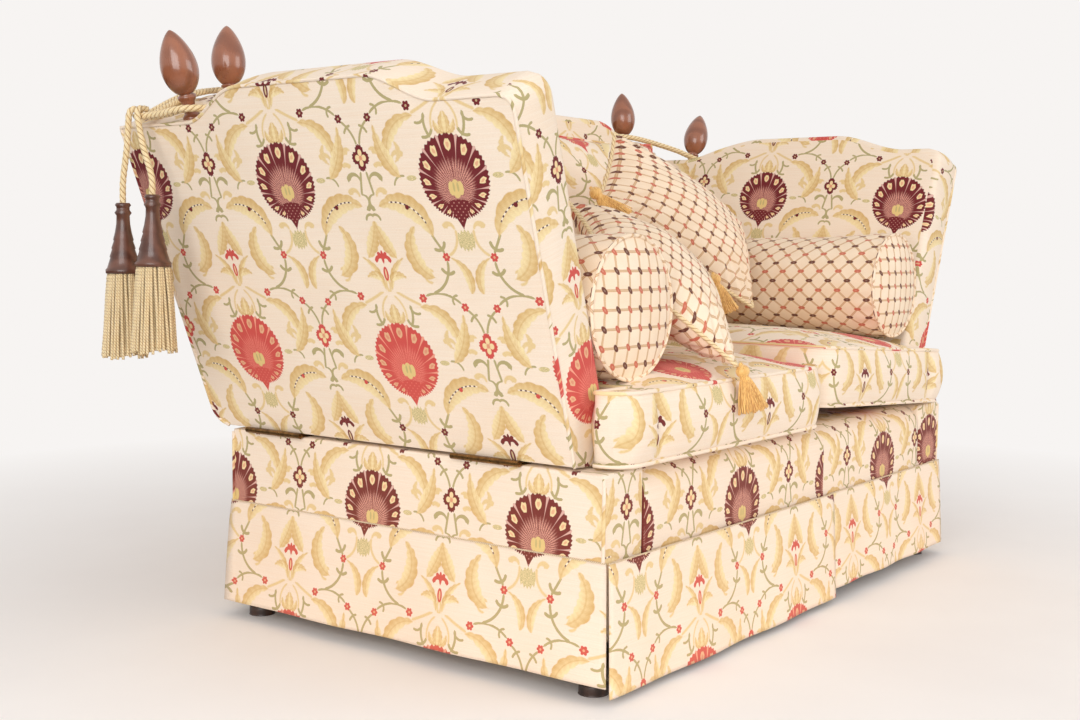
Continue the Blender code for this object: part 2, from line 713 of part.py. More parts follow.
def make_back_panel(parent):
    up, ahead, foot = back_frame()
    mesh = outline_mesh("back_panel", [back_outline()], BACK_THICKNESS)
    place = axes((1, 0, 0), up, ahead, foot + ahead * BACK_THICKNESS / 2)
    made = add_object("back_panel", mesh, DAMASK, parent, place)
    add_bevel(made, ARM_EDGE_ROUNDING)
    bm = bmesh.new()
    for sign in SIDES.values():
        half = POST_WIDTH / 2 + CLEAR
        middle = sign * POST_OFFSET
        low = (middle - half, POST_REAR - POST_DEPTH - CLEAR, BACK_BOTTOM - OVERRUN)
        box_into(bm, low, (middle + half, POST_REAR + CLEAR, POST_TOP + CLEAR))
    cutter = add_bmesh("back_panel_pockets", bm, DAMASK, parent, Matrix.Identity(4))
    add_boolean(made, "DIFFERENCE", cutter)
    return made


def make_back_posts(parent):
    for side, sign in SIDES.items():
        middle = sign * POST_OFFSET
        low = (middle - POST_WIDTH / 2, POST_REAR - POST_DEPTH, FRAME_BOTTOM + POST_FOOT_GAP)
        box(f"{side}_back_post", low, (middle + POST_WIDTH / 2, POST_REAR, POST_TOP), FRAME_WOOD, parent)


def finial_profile(stem):
    """A turned stem with an egg on it, fullest below its middle."""
    profile = [(FINIAL_FOOT_RADIUS * across, stem * up) for across, up in FINIAL_STEM_SHARES]
    for ring in range(EGG_RINGS):
        t = EGG_START_SHARE + (1 - EGG_START_SHARE) * ring / EGG_RINGS
        radius = FINIAL_RADIUS * math.sin(math.pi * t**EGG_LOWNESS) ** EGG_FULLNESS
        if ring:
            profile.append((radius, stem + FINIAL_EGG * (t - EGG_START_SHARE)))
    profile = [(0.0, 0.0), *profile, (0.0, stem + FINIAL_EGG * (1 - EGG_START_SHARE))]
    return list(reversed(profile))


def arm_finial_foot(side):
    up, out, edge = arm_frame(side)
    return edge + up * (ARM_SLOPE + CLEAR) - out * ARM_FINIAL_INSET + Vector((0, ARM_FINIAL_Y, 0))


def back_finial_foot(side):
    up, ahead, foot = back_frame()
    slope = BACK_HEIGHT - BACK_FINIAL_DROP + CLEAR
    return foot + up * slope + ahead * BACK_FINIAL_INSET + Vector((SIDES[side] * BACK_FINIAL_X, 0, 0))


def make_finials(side, root, arm):
    up = arm_frame(side)[0]
    place = along(up, arm_finial_foot(side))
    turned(f"{side}_arm_finial", finial_profile(ARM_FINIAL_STEM), 12, MAHOGANY, arm, place)
    place = along(back_frame()[0], back_finial_foot(side))
    turned(f"{side}_back_finial", finial_profile(BACK_FINIAL_STEM), 12, MAHOGANY, root, place)


# Tie ropes and tassels

def tie_points():
    """Two turns round both finials, the second lying outside the first."""
    loop = smooth_route(TIE_ROUTE, 2, closed=True)
    count = len(loop)
    middle = loop[:, :2].mean(axis=0)
    points = []
    for step in range(TIE_TURNS * count + 1):
        here = loop[step % count]
        ahead = loop[(step + 1) % count] - loop[(step - 1) % count]
        out = np.array((ahead[1], -ahead[0])) / np.hypot(ahead[0], ahead[1])
        if np.dot(out, here[:2] - middle) < 0:
            out = -out
        spread = ROPE_PITCH * step / count
        points.append((here[0] + out[0] * spread, here[1] + out[1] * spread, here[2]))
    return np.array(points)


def least_gap(points, diameter):
    """The least space between two stretches of a rope that are three diameters apart along it."""
    steps = np.linalg.norm(np.diff(points, axis=0), axis=1)
    run = np.concatenate([[0.0], np.cumsum(steps)])
    fine = np.linspace(0, run[-1], 12 * len(points))
    dense = np.stack([np.interp(fine, run, points[:, axis]) for axis in range(3)], axis=1)
    apart = np.linalg.norm(dense[:, None] - dense[None], axis=2)
    apart[np.abs(fine[:, None] - fine[None]) < 3 * diameter] = np.inf
    return apart.min() - diameter


def mirrored(points, side):
    return [(SIDES[side] * x, y, z) for x, y, z in points]


def make_tie_rope(side, arm):
    points = tie_points()
    if side == "right":
        print(f"least gap of the tie rope to itself: {1000 * least_gap(points, ROPE_DIAMETER):.2f} mm")
    origin = arm.matrix_world.translation
    tube(f"{side}_tie_rope", mirrored(points, side), ROPE_DIAMETER / 2, 1, ROPE, arm, origin)


def skirt_bmesh():
    """A fringe of strands round a cone, its grooves running down between them."""
    bm = bmesh.new()
    bmesh.ops.create_cone(
        bm, cap_ends=True, segments=2 * SKIRT_STRANDS, radius1=SKIRT_RADIUS, radius2=SKIRT_TOP_RADIUS,
        depth=SKIRT_LENGTH, matrix=Matrix.Translation((0, 0, -SKIRT_LENGTH / 2)),
    )
    for vert in bm.verts:
        turn = math.atan2(vert.co.y, vert.co.x) / math.pi * SKIRT_STRANDS
        if round(turn) % 2:
            vert.co.x *= 1 - SKIRT_GROOVE_SHARE
            vert.co.y *= 1 - SKIRT_GROOVE_SHARE
    return bm


def make_tassel(side, end, swing):
    route = mirrored(smooth_route(TAIL_ROUTES[end], 2), side)
    name = f"{side}_{end}_tassel"
    origin = swing.matrix_world.translation
    tube(f"{name}_cord", route, ROPE_DIAMETER / 2, 2, ROPE, swing, origin)
    top = Vector(route[-1]) - Vector((0, 0, CLEAR))
    profile = shared_profile(BELL_SHARES, BELL_RADIUS, BELL_HEIGHT)
    turned(f"{name}_bell", profile, 12, MAHOGANY, swing, Matrix.Translation(top))
    place = Matrix.Translation(top - Vector((0, 0, BELL_HEIGHT + CLEAR)))
    add_bmesh(f"{name}_skirt", skirt_bmesh(), FRINGE, swing, place)


# Cushions

def world_mesh(obj):
    graph = bpy.context.evaluated_depsgraph_get()
    evaluated = obj.evaluated_get(graph)
    mesh = evaluated.to_mesh()
    mesh.calc_loop_triangles()
    points = [evaluated.matrix_world @ vert.co for vert in mesh.vertices]
    faces = [tuple(face.vertices) for face in mesh.loop_triangles]
    evaluated.to_mesh_clear()
    return points, faces


def settle(obj, carriers, direction):
    """Slides obj along direction, from clear of its carriers, until it lies on one of them."""
    bpy.context.view_layer.update()
    points, faces = world_mesh(obj)
    trees = [BVHTree.FromPolygons(*world_mesh(carrier)) for carrier in carriers]
    direction = Vector(direction).normalized()

    def touches(distance):
        tree = BVHTree.FromPolygons([point + direction * distance for point in points], faces)
        return any(tree.overlap(other) for other in trees)

    step = SEARCH_REACH / 50
    near = -SEARCH_REACH
    while near < SEARCH_REACH and not touches(near + step):
        near += step
    if near >= SEARCH_REACH:
        return
    far = near + step
    for _ in range(12):
        middle = (near + far) / 2
        if touches(middle):
            far = middle
        else:
            near = middle
    obj.location += direction * (near - CLEAR)
    bpy.context.view_layer.update()


def crease(bm, picked, strength=SEAM_CREASE):
    """Marks as a seam the edges that picked names."""
    layer = bm.edges.layers.float.get("crease_edge") or bm.edges.layers.float.new("crease_edge")
    for edge in bm.edges:
        if picked(edge):
            edge[layer] = strength


def make_seat_cushion(side):
    """A boxed cushion with a crown, welted edges and an ear in front of the arm."""
    sign = SIDES[side]
    start = SEAT_JOIN + sign * SEAT_JOIN_GAP / 2
    end = sign * SEAT_HALF_WIDTH
    across = [start + share * (end - start) for share in SEAT_ACROSS_SHARES] + [sign * SEAT_EAR_REACH]
    ear = SEAT_FRONT + SEAT_EAR_DEPTH
    depths = [SEAT_FRONT, ear] + [ear + share * (SEAT_BACK - ear) for share in SEAT_ALONG_SHARES]
    origin = Vector(((start + end) / 2, (SEAT_FRONT + SEAT_BACK) / 2, SEAT_MIDDLE_Z))
    low = SEAT_LOW_WELT - SEAT_MIDDLE_Z
    high = SEAT_TOP_WELT - SEAT_MIDDLE_Z

    def place(i, j):
        return (across[i] - origin.x, depths[j] - origin.y, low)

    bm = grid_bmesh(len(across) - 1, len(depths) - 1, place)
    ear_line = sign * (SEAT_HALF_WIDTH) - origin.x
    beyond = [
        face for face in bm.faces
        if sign * (face.calc_center_median().x - ear_line) > 0 and face.calc_center_median().y > ear - origin.y
    ]
    bmesh.ops.delete(bm, geom=beyond, context="FACES")
    raised = bmesh.ops.extrude_face_region(bm, geom=bm.faces[:])["geom"]
    top_verts = [item for item in raised if isinstance(item, bmesh.types.BMVert)]
    bmesh.ops.translate(bm, verts=top_verts, vec=(0, 0, high - low))
    bmesh.ops.recalc_face_normals(bm, faces=bm.faces)
    half_depth = (SEAT_BACK - SEAT_FRONT) / 2
    half_width = abs(end - start) / 2
    for vert in bm.verts:
        rim = any(abs(face.normal.z) < 0.5 for face in vert.link_faces)
        if not rim:
            u, v = vert.co.x / half_width, vert.co.y / half_depth
            swell = max(0.0, 1 - u**4) * max(0.0, 1 - v**4)
            rise = SEAT_CROWN if vert.co.z > 0 else -SEAT_LOW_CROWNS[side]
            vert.co.z += rise * swell
    bm.normal_update()
    crease(bm, lambda edge: {abs(face.normal.z) < 0.5 for face in edge.link_faces} == {True, False})
    notch = Vector((end - origin.x, ear - origin.y))
    crease(bm, lambda edge: all((vert.co.xy - notch).length < MERGE for vert in edge.verts), 1.0)
    corner_layer = bm.verts.layers.float.new("crease_vert")
    for vert in bm.verts:
        if (vert.co.xy - notch).length < MERGE:
            vert[corner_layer] = 1.0
    matrix = Matrix.Translation(origin) @ Matrix.Rotation(SEAT_TILTS[side], 4, "Y")
    made = add_bmesh(f"{side}_seat_cushion", bm, DAMASK, None, matrix)
    add_subdivision(made)
    return made


def make_pillow(name, corners, plump, material):
    """A cushion between four corners: plump in the middle, drawn in along its corded sides."""
    corners = [Vector(corner) for corner in corners]
    origin = sum(corners, Vector()) / 4
    normal = (corners[2] - corners[0]).cross(corners[3] - corners[1]).normalized()

    def shape(i, j, way):
        u, v = 2 * i / PILLOW_CELLS - 1, 2 * j / PILLOW_CELLS - 1
        stand = PILLOW_RIM / 2 + plump * math.sqrt((1 - u * u) * (1 - v * v))
        u, v = u * (1 - PILLOW_DRAW_SHARE * (1 - v * v)), v * (1 - PILLOW_DRAW_SHARE * (1 - u * u))
        low = corners[0].lerp(corners[1], (u + 1) / 2)
        high = corners[3].lerp(corners[2], (u + 1) / 2)
        return low.lerp(high, (v + 1) / 2) - origin + normal * way * stand

    bm = grid_bmesh(PILLOW_CELLS, PILLOW_CELLS, lambda i, j: shape(i, j, 1))
    below = grid_bmesh(PILLOW_CELLS, PILLOW_CELLS, lambda i, j: shape(i, j, -1))
    lower = bpy.data.meshes.new(f"{name}_underside")
    below.to_mesh(lower)
    below.free()
    bm.from_mesh(lower)
    seam_layer = bm.edges.layers.float.new("crease_edge")
    corner_layer = bm.verts.layers.float.new("crease_vert")
    rim = [edge for edge in bm.edges if edge.is_boundary]
    for edge in rim:
        edge[seam_layer] = SEAM_CREASE
    for vert in bm.verts:
        if any((vert.co + origin - corner).length < PILLOW_RIM for corner in corners):
            vert[corner_layer] = 1.0
    bmesh.ops.bridge_loops(bm, edges=rim)
    made = add_bmesh(name, bm, material, None, Matrix.Translation(origin))
    add_subdivision(made)
    return made


def make_back_cushion(side, seat, panel):
    sign = SIDES[side]
    inner = SEAT_JOIN + sign * (SEAT_JOIN_GAP + CLEAR)
    outer = sign * BACK_CUSHION_OUTER
    low, high = BACK_CUSHION_LOW, BACK_CUSHION_LOW + BACK_CUSHION_HEIGHT
    y_low, y_high = BACK_CUSHION_Y, BACK_CUSHION_Y + BACK_CUSHION_LEAN
    left, right = min(inner, outer), max(inner, outer)
    corners = ((left, y_low, low), (right, y_low, low), (right, y_high, high), (left, y_high, high))
    made = make_pillow(f"{side}_back_cushion", corners, BACK_CUSHION_PLUMP, DAMASK)
    settle(made, [panel], (0, 1, 0))
    settle(made, [seat], (0, 0, -1))
    settle(made, [panel], (0, 1, 0))
    settle(made, [seat, panel], (0, 0, -1))
    attach(made, seat)
    return made


def bolster_profile(length):
    """Half of the cylinder's length and its crowned, welted end, mirrored about its middle."""
    half = length / 2
    end = [
        (0.0, half + BOLSTER_CROWN),
        (0.5 * BOLSTER_RADIUS, half + 0.75 * BOLSTER_CROWN),
        (0.88 * BOLSTER_RADIUS, half + 0.15 * BOLSTER_CROWN),
        (BOLSTER_RADIUS - BOLSTER_WELT, half),
        (BOLSTER_RADIUS, half + BOLSTER_WELT / 2),
        (BOLSTER_RADIUS + BOLSTER_WELT / 4, half - BOLSTER_WELT),
        (BOLSTER_RADIUS - BOLSTER_WELT / 2, half - 2 * BOLSTER_WELT),
        (BOLSTER_RADIUS, half / 2),
    ]
    return [*end, (BOLSTER_RADIUS, 0.0), *[(radius, -z) for radius, z in reversed(end)]]


def make_bolster(side, seat, arm_panel):
    length = BOLSTER_BACK - BOLSTER_FRONT
    middle = (SIDES[side] * BOLSTER_AXIS, (BOLSTER_BACK + BOLSTER_FRONT) / 2, SEAT_TOP_WELT + 1.1 * BOLSTER_RADIUS)
    place = Matrix.Translation(middle) @ Matrix.Rotation(math.pi / 2, 4, "X")
    made = turned(f"{side}_bolster", bolster_profile(length), 20, LATTICE, None, place)
    settle(made, [seat], (0, 0, -1))
    settle(made, [arm_panel], (SIDES[side], 0, 0))
    settle(made, [seat, arm_panel], (0, 0, -1))
    attach(made, seat)
    return made


def pillow_corners(shares):
    """Corners as shares of the seat's half width, its depth from the front, and the pillow's side above the seat."""
    depth = SEAT_BACK - SEAT_FRONT
    return [
        (x * SEAT_HALF_WIDTH, SEAT_FRONT + y * depth, SEAT_TOP_WELT + z * PILLOW_SIDE) for x, y, z in shares
    ]


def make_scatter_cushion(name, shares, bolster, carriers):
    made = make_pillow(name, pillow_corners(shares), PILLOW_PLUMP, LATTICE)
    settle(made, [bolster, *carriers], (0, 0, -1))
    attach(made, bolster)
    return made


def make_cushion_tassel(name, pillow, corner_number, direction):
    corner = Vector(pillow_corners(FRONT_PILLOW_SHARES)[corner_number])
    origin = sum((Vector(c) for c in pillow_corners(FRONT_PILLOW_SHARES)), Vector()) / 4
    bpy.context.view_layer.update()
    direction = Vector(direction).normalized()
    outward = (corner - origin).normalized()
    start = pillow.matrix_world.translation + corner - origin + outward * CUSHION_TASSEL_RADIUS / 2
    profile = shared_profile(CUSHION_TASSEL_SHARES, CUSHION_TASSEL_RADIUS, CUSHION_TASSEL_LENGTH)
    made = turned(name, profile, 12, FRINGE, None, along(-direction, start))
    settle(made, [pillow], -outward)
    attach(made, pillow)
    return made


def centre_on_floor(root):
    """Moves the whole sofa so that the origin is the bottom middle of its box."""
    bpy.context.view_layer.update()
    points = np.array([point for obj in PARTS.objects if obj.type != "EMPTY" for point in world_mesh(obj)[0]])
    low, high = points.min(axis=0), points.max(axis=0)
    root.location = (-(low[0] + high[0]) / 2, -(low[1] + high[1]) / 2, -low[2])
    bpy.context.view_layer.update()
    print("box", np.round(high - low, 4), "moved by", np.round(root.location, 5))


def main():
    root = pivot("knole_sofa_origin", (0, 0, 0), None)
    arm_bases = {side: make_arm_base(side, root) for side in SIDES}
    make_rails(root)
    make_deck(root)
    make_front_border(root)
    make_back_border(root)
    make_feet(root)
    make_valances(root)
    back_panel = make_back_panel(root)
    make_back_posts(root)
    for side, sign in SIDES.items():
        arm = pivot(f"{side}_arm_hinge_axis", (sign * HINGE_X, 0, HINGE_Z), root)
        arm_panel = make_arm_panel(side, arm)
        for end in HINGE_DEPTH_SHARES:
            make_hinge(side, end, root, arm)
        make_finials(side, root, arm)
        make_tie_rope(side, arm)
        swing = pivot(f"{side}_tassel_swing_axis", mirrored([SWING_AXIS], side)[0], arm)
        for end in TAIL_ROUTES:
            make_tassel(side, end, swing)
        seat = make_seat_cushion(side)
        settle(seat, [bpy.data.objects["seat_deck"], bpy.data.objects["front_border"], arm_bases[side]], (0, 0, -1))
        attach(seat, root)
        make_back_cushion(side, seat, back_panel)
        bolster = make_bolster(side, seat, arm_panel)
        if side == "left":
            pillow = make_scatter_cushion("front_scatter_cushion", FRONT_PILLOW_SHARES, bolster, [seat])
            for number, lean in CUSHION_TASSEL_LEANS.items():
                make_cushion_tassel(f"cushion_tassel_{number + 1}", pillow, number, lean)
        else:
            make_scatter_cushion("rear_scatter_cushion", REAR_PILLOW_SHARES, bolster, [seat])
    centre_on_floor(root)


main()
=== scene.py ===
# %% [markdown]
# # Dressing a knole sofa
# The solids of the sofa come in as a fixed frame. This lesson puts padded cloth, twisted rope,
# cut fringe and polished wood round them, one piece at a time, and lights them plainly.

import math

import bmesh
import bpy
import numpy as np
from mathutils import Matrix, Vector


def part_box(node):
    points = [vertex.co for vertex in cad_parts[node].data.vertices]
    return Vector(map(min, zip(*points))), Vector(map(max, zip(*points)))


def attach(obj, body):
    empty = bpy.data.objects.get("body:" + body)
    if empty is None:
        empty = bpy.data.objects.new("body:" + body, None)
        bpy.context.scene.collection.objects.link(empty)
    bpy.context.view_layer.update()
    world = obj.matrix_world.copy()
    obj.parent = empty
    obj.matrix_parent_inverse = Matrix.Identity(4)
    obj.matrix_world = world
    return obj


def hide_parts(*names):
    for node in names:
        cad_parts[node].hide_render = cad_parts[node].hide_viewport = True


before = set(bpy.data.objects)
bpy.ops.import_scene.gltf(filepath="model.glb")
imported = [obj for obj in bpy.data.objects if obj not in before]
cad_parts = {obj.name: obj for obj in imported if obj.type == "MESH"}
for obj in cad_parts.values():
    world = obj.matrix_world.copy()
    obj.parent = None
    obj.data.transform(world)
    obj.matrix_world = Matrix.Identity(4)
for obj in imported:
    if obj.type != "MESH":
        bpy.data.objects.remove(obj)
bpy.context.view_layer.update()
SIDES = {"left": -1, "right": 1}
MM = 0.001
BASE_HALF_WIDTH = 0.726
BASE_HALF_DEPTH = 0.4465
SHIFT = np.array([0.0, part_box("left_arm_base")[0].y + BASE_HALF_DEPTH, 0.0])
print("solids:", len(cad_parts), "shift of the sizes below:", np.round(SHIFT, 5))

# %% [markdown]
# ## The camera
# The camera stands low at the sofa's front left corner. Its three axes come from a yaw, a pitch
# and a small roll, which is how a hand-held or tripod camera is usually described.

# %% Camera
CAMERA_PLACE = np.array([-2.564, -1.684, 0.741])
CAMERA_YAW, CAMERA_PITCH, CAMERA_ROLL = (math.radians(angle) for angle in (36.70, 4.64, 0.57))
CAMERA_LENS = 46.29


def camera_axes(yaw, pitch, roll):
    """Right, up and forward axes: forward turns by yaw from +X and dips by pitch, then all roll about it."""
    forward = np.array([math.cos(yaw) * math.cos(pitch), math.sin(yaw) * math.cos(pitch), -math.sin(pitch)])
    level = np.array([math.sin(yaw), -math.cos(yaw), 0.0])
    upright = np.cross(level, forward)
    right = math.cos(roll) * level + math.sin(roll) * upright
    up = -math.sin(roll) * level + math.cos(roll) * upright
    return right, up, forward


camera_data = bpy.data.cameras.new("photo_camera")
camera_data.sensor_width = 36
camera_data.lens = CAMERA_LENS
camera = bpy.data.objects.new("photo_camera", camera_data)
bpy.context.scene.collection.objects.link(camera)
right, up, forward = camera_axes(CAMERA_YAW, CAMERA_PITCH, CAMERA_ROLL)
place = np.eye(4)
place[:3, :3] = np.stack([right, up, -forward], axis=1)
place[:3, 3] = CAMERA_PLACE + SHIFT
camera.matrix_world = Matrix(place.tolist())
bpy.context.scene.camera = camera
print("camera at", np.round(CAMERA_PLACE + SHIFT, 3), "lens", CAMERA_LENS)

# %% [markdown]
# ## Colours and small node helpers
# Colours are written as they look on a screen and turned into the linear values that shaders
# use. A Field wraps a node's output, so that a woven pattern can be written as arithmetic.

# %% Colours and fields


def linear(red, green, blue):
    """Screen values from 0 to 255 as linear light, by the usual 2.4 power curve."""
    values = np.array([red, green, blue]) / 255
    bent = np.where(values <= 0.04045, values / 12.92, ((values + 0.055) / 1.055) ** 2.4)
    return (*bent.tolist(), 1.0)


class Field:
    """A value carried by a node socket: its sums and products make Math nodes."""

    def __init__(self, tree, socket):
        self.tree, self.socket = tree, socket

    def node(self, operation, *values):
        made = self.tree.nodes.new("ShaderNodeMath")
        made.operation = operation
        for socket, value in zip(made.inputs, (self, *values)):
            if isinstance(value, Field):
                self.tree.links.new(value.socket, socket)
            else:
                socket.default_value = value
        return Field(self.tree, made.outputs[0])

    def __add__(self, other):
        return self.node("ADD", other)

    def __sub__(self, other):
        return self.node("SUBTRACT", other)

    def __mul__(self, other):
        return self.node("MULTIPLY", other)

    def __truediv__(self, other):
        return self.node("DIVIDE", other)

    def times_plus(self, factor, term):
        return self.node("MULTIPLY_ADD", factor, term)

    def size(self):
        return self.node("ABSOLUTE")

    def sine(self):
        return self.node("SINE")

    def cosine(self):
        return self.node("COSINE")

    def root(self):
        return self.node("SQRT")

    def soft(self, low, high):
        """0 below low, 1 above high, straight between."""
        made = self.tree.nodes.new("ShaderNodeMapRange")
        self.tree.links.new(self.socket, made.inputs["Value"])
        made.inputs["From Min"].default_value = low
        made.inputs["From Max"].default_value = high
        return Field(self.tree, made.outputs["Result"])


def largest(fields):
    top = fields[0]
    for field in fields[1:]:
        top = top.node("MAXIMUM", field)
    return top


def colour_mix(tree, mask, below, above):
    """Lays one colour over another where the mask is 1. A colour is a tuple or a socket."""
    made = tree.nodes.new("ShaderNodeMix")
    made.data_type = "RGBA"
    tree.links.new(mask.socket, made.inputs["Factor"])
    for name, colour in (("A", below), ("B", above)):
        socket = next(item for item in made.inputs if item.name == name and item.type == "RGBA")
        if isinstance(colour, tuple):
            socket.default_value = colour
        else:
            tree.links.new(colour, socket)
    return next(item for item in made.outputs if item.type == "RGBA")


def new_group(name, inputs, outputs):
    """A node group with named sockets, and its input and output nodes."""
    tree = bpy.data.node_groups.new(name, "ShaderNodeTree")
    for title, kind in inputs:
        tree.interface.new_socket(name=title, in_out="INPUT", socket_type=kind)
    for title, kind in outputs:
        tree.interface.new_socket(name=title, in_out="OUTPUT", socket_type=kind)
    return tree, tree.nodes.new("NodeGroupInput"), tree.nodes.new("NodeGroupOutput")


def split(tree, socket):
    made = tree.nodes.new("ShaderNodeSeparateXYZ")
    tree.links.new(socket, made.inputs[0])
    return [Field(tree, made.outputs[i]) for i in range(3)]


def noise(tree, vector, scale, detail=2.0, roughness=0.5):
    made = tree.nodes.new("ShaderNodeTexNoise")
    tree.links.new(vector, made.inputs["Vector"])
    made.inputs["Scale"].default_value = scale
    made.inputs["Detail"].default_value = detail
    made.inputs["Roughness"].default_value = roughness
    return Field(tree, made.outputs["Fac"])


def stretched(tree, vector, scale):
    made = tree.nodes.new("ShaderNodeMapping")
    tree.links.new(vector, made.inputs["Vector"])
    made.inputs["Scale"].default_value = scale
    return made.outputs["Vector"]


print("screen grey 128 as linear light:", round(linear(128, 128, 128)[0], 3))

# %% [markdown]
# ## The damask's motifs
# The real cloth is a woven half-drop pattern: one row of flowers in maroon, the next in coral,
# half a repeat lower and half a repeat to the side. An image could carry it, but lines drawn by
# arithmetic stay sharp at every distance. So the cloth's own coordinates are folded, by
# mirroring and by that half drop, until one small cell holds every motif, and each leaf and
# vine there is an arc of a circle through three points, in millimetres.

# %% One cell of the damask
REPEAT_ACROSS = 0.380
REPEAT_UP = 0.644
CELL_LOW = -0.232
VINES = (
    ((187, 20), (175, 48), (160, 62), 1.7, 0.0), ((153, 70), (112, 89), (76, 83), 1.7, 0.0),
    ((184, -22), (180, -42), (176, -64), 1.8, 0.0), ((178, -48), (166, -27), (152, -41), 2.3, 0.7),
    ((176, -62), (190, -77), (179, -88), 2.3, 0.6), ((174, -108), (183, -96), (191, -114), 1.8, 0.0),
    ((49, -173), (58, -207), (96, -233), 2.0, 0.0), ((70, -129), (60, -147), (50, -163), 1.9, 0.0),
    ((38, 68), (40, 47), (31, 27), 2.0, 0.0), ((181, 54), (172, 51), (164, 40), 1.8, 0.0),
    ((147, 86), (136, 82), (137, 69), 1.7, 0.0), ((65, -187), (56, -197), (38, -192), 2.3, 0.0),
    ((71, -154), (55, -156), (47, -141), 2.3, 0.0), ((60, 54), (43, 55), (38, 65), 1.8, 0.0),
    ((50, 30), (34, 31), (26, 43), 2.0, 0.0), ((126, -49), (120, -37), (100, -33), 1.5, 0.0),
)
LEAVES = (
    ((130, -4), (107, 48), (56, 64), 12.5, -0.25, 2.6),
    ((149, 58), (139, 6), (108, -36), 13.0, 0.5, 2.0),
    ((174, -84), (112, -80), (66, -138), 19.0, 0.1, 2.4),
    ((99, -114), (120, -155), (80, -206), 15.5, 0.3, 3.0),
    ((191, -104), (179, -138), (156, -174), 13.0, 0.25, 2.4),
    ((140, -170), (170, -194), (183, -232), 6.5, 0.2, 1.2),
    ((144, -208), (160, -202), (184, -214), 7.5, 0.3, 1.8),
    ((44, -169), (15, -193), (14, -236), 9.0, 0.5, 1.2), ((0, 29), (5, 48), (0, 70), 7.0, -0.3, 1.2),
    ((2, 34), (15, 41), (20, 57), 6.0, -0.3, 1.0), ((150, 4), (158, 14), (170, 12), 5.0, -0.2, 1.0),
    ((118, -10), (104, 8), (112, 26), 5.5, 0.2, 1.0),
)
TENDRILS = (
    ((121, -6), (108, 7), (97, -1), 3.4, 0.5), ((170, -66), (158, -54), (149, -63), 3.4, 0.5),
    ((20, -123), (29, -113), (40, -121), 3.4, 0.5), ((19, -121), (22, -148), (44, -167), 2.3, 0.0),
    ((66, 67), (44, 76), (12, 92), 2.4, 0.0), ((25, 38), (24, 62), (6, 84), 1.9, 0.0),
    ((88, -213), (92, -214), (83, -197), 2.2, 0.0), ((192, -204), (186, -219), (192, -236), 2.2, 0.0),
    ((163, 9), (154, 9), (146, 4), 3.0, 0.0), ((163, -16), (154, -11), (144, -14), 3.4, 0.0),
)
SLIT_WIDTH = 1.7 * MM
LOBE_TURNS = 10.0
BARB_TURNS = 2.1
STROKE_WEIGHT = 1.42


def circle_through(start, middle, end):
    """Centre and radius of the circle through three points, the angle half way, and the half sweep."""
    points = np.array([start, middle, end], float) * MM
    sums = (points**2).sum(axis=1)
    centre = np.linalg.solve(2 * (points[1:] - points[0]), sums[1:] - sums[0])
    angles = np.arctan2(*(points - centre).T[::-1])
    sweep = (angles[2] - angles[0]) % math.tau
    if (angles[1] - angles[0]) % math.tau > sweep:
        sweep -= math.tau
    return centre, np.linalg.norm(points[0] - centre), angles[0] + sweep / 2, sweep / 2


def arc(x, y, start, middle, end):
    """Signed distance from the arc's circle, and a share that runs from -1 at its start to 1 at its end."""
    centre, radius, angle, half = circle_through(start, middle, end)
    cos, sin = math.cos(angle), math.sin(angle)
    ahead = x.times_plus(cos, y.times_plus(sin, -centre[0] * cos - centre[1] * sin))
    aside = x.times_plus(-sin, y.times_plus(cos, centre[0] * sin - centre[1] * cos))
    reach = (ahead.times_plus(ahead, aside * aside)).root()
    return reach - radius, aside.node("ARCTAN2", ahead) * (1 / half)


def vine(x, y, start, middle, end, width, swell):
    """A stroke of even width with blunt ends: its half width, growing by swell, less the distance."""
    width = width * STROKE_WEIGHT
    distance, share = arc(x, y, start, middle, end)
    distance = distance.size()
    room = share.size().times_plus(-6 * width * MM, 6 * width * MM)
    wide = share.times_plus(swell * width * MM, width * MM) if swell else width * MM
    return room.node("MINIMUM", wide) - distance


def leaf(x, y, start, middle, end, width, skew, teeth):
    """A stroke pointed at both ends, fullest towards one of them, with a lobed edge and slanting barbs."""
    half, tooth = width * MM, teeth * MM
    offset, share = arc(x, y, start, middle, end)
    distance = offset.size()
    bow = (share * share).times_plus(-half, half) * share.times_plus(skew, 1.0).node("MAXIMUM", 0.2)
    lobes = distance.times_plus(1.4 / half, share * LOBE_TURNS).sine().size()
    field = lobes.times_plus(tooth, bow - distance) - 0.4 * tooth
    barbs = distance.times_plus(2.6 / half, share * (BARB_TURNS * width)).sine()
    spine = distance.soft(0.16 * half, 0.0)
    shade = barbs.times_plus(0.10, offset * (0.70 / half)) + spine * 0.45
    return field, distance, share, shade * field.soft(0.0, MM)


def spot(x, y, across, up, half_width, half_height):
    """An ellipse: 1 in its middle, 0 on its edge, below zero outside."""
    dx = x.times_plus(1 / (half_width * MM), -across / half_width)
    dy = y.times_plus(1 / (half_height * MM), -up / half_height)
    return (dx.times_plus(dx, dy * dy)).root().times_plus(-1.0, 1.0)


def floret(x, y, across, up, radius):
    """A six-lobed spot: 1 in its middle and 0 on an edge whose radius swells six times round."""
    dx, dy = x.times_plus(1.0, -across * MM), y.times_plus(1.0, -up * MM)
    lobes = (dy.node("ARCTAN2", dx) * 3.0).cosine().size()
    lobes = lobes.times_plus(0.32 * radius * MM, 0.72 * radius * MM)
    return (dx.times_plus(dx, dy * dy)).root().node("DIVIDE", lobes).times_plus(-1.0, 1.0)


print("damask strokes:", len(VINES) + len(TENDRILS), "leaves:", len(LEAVES))

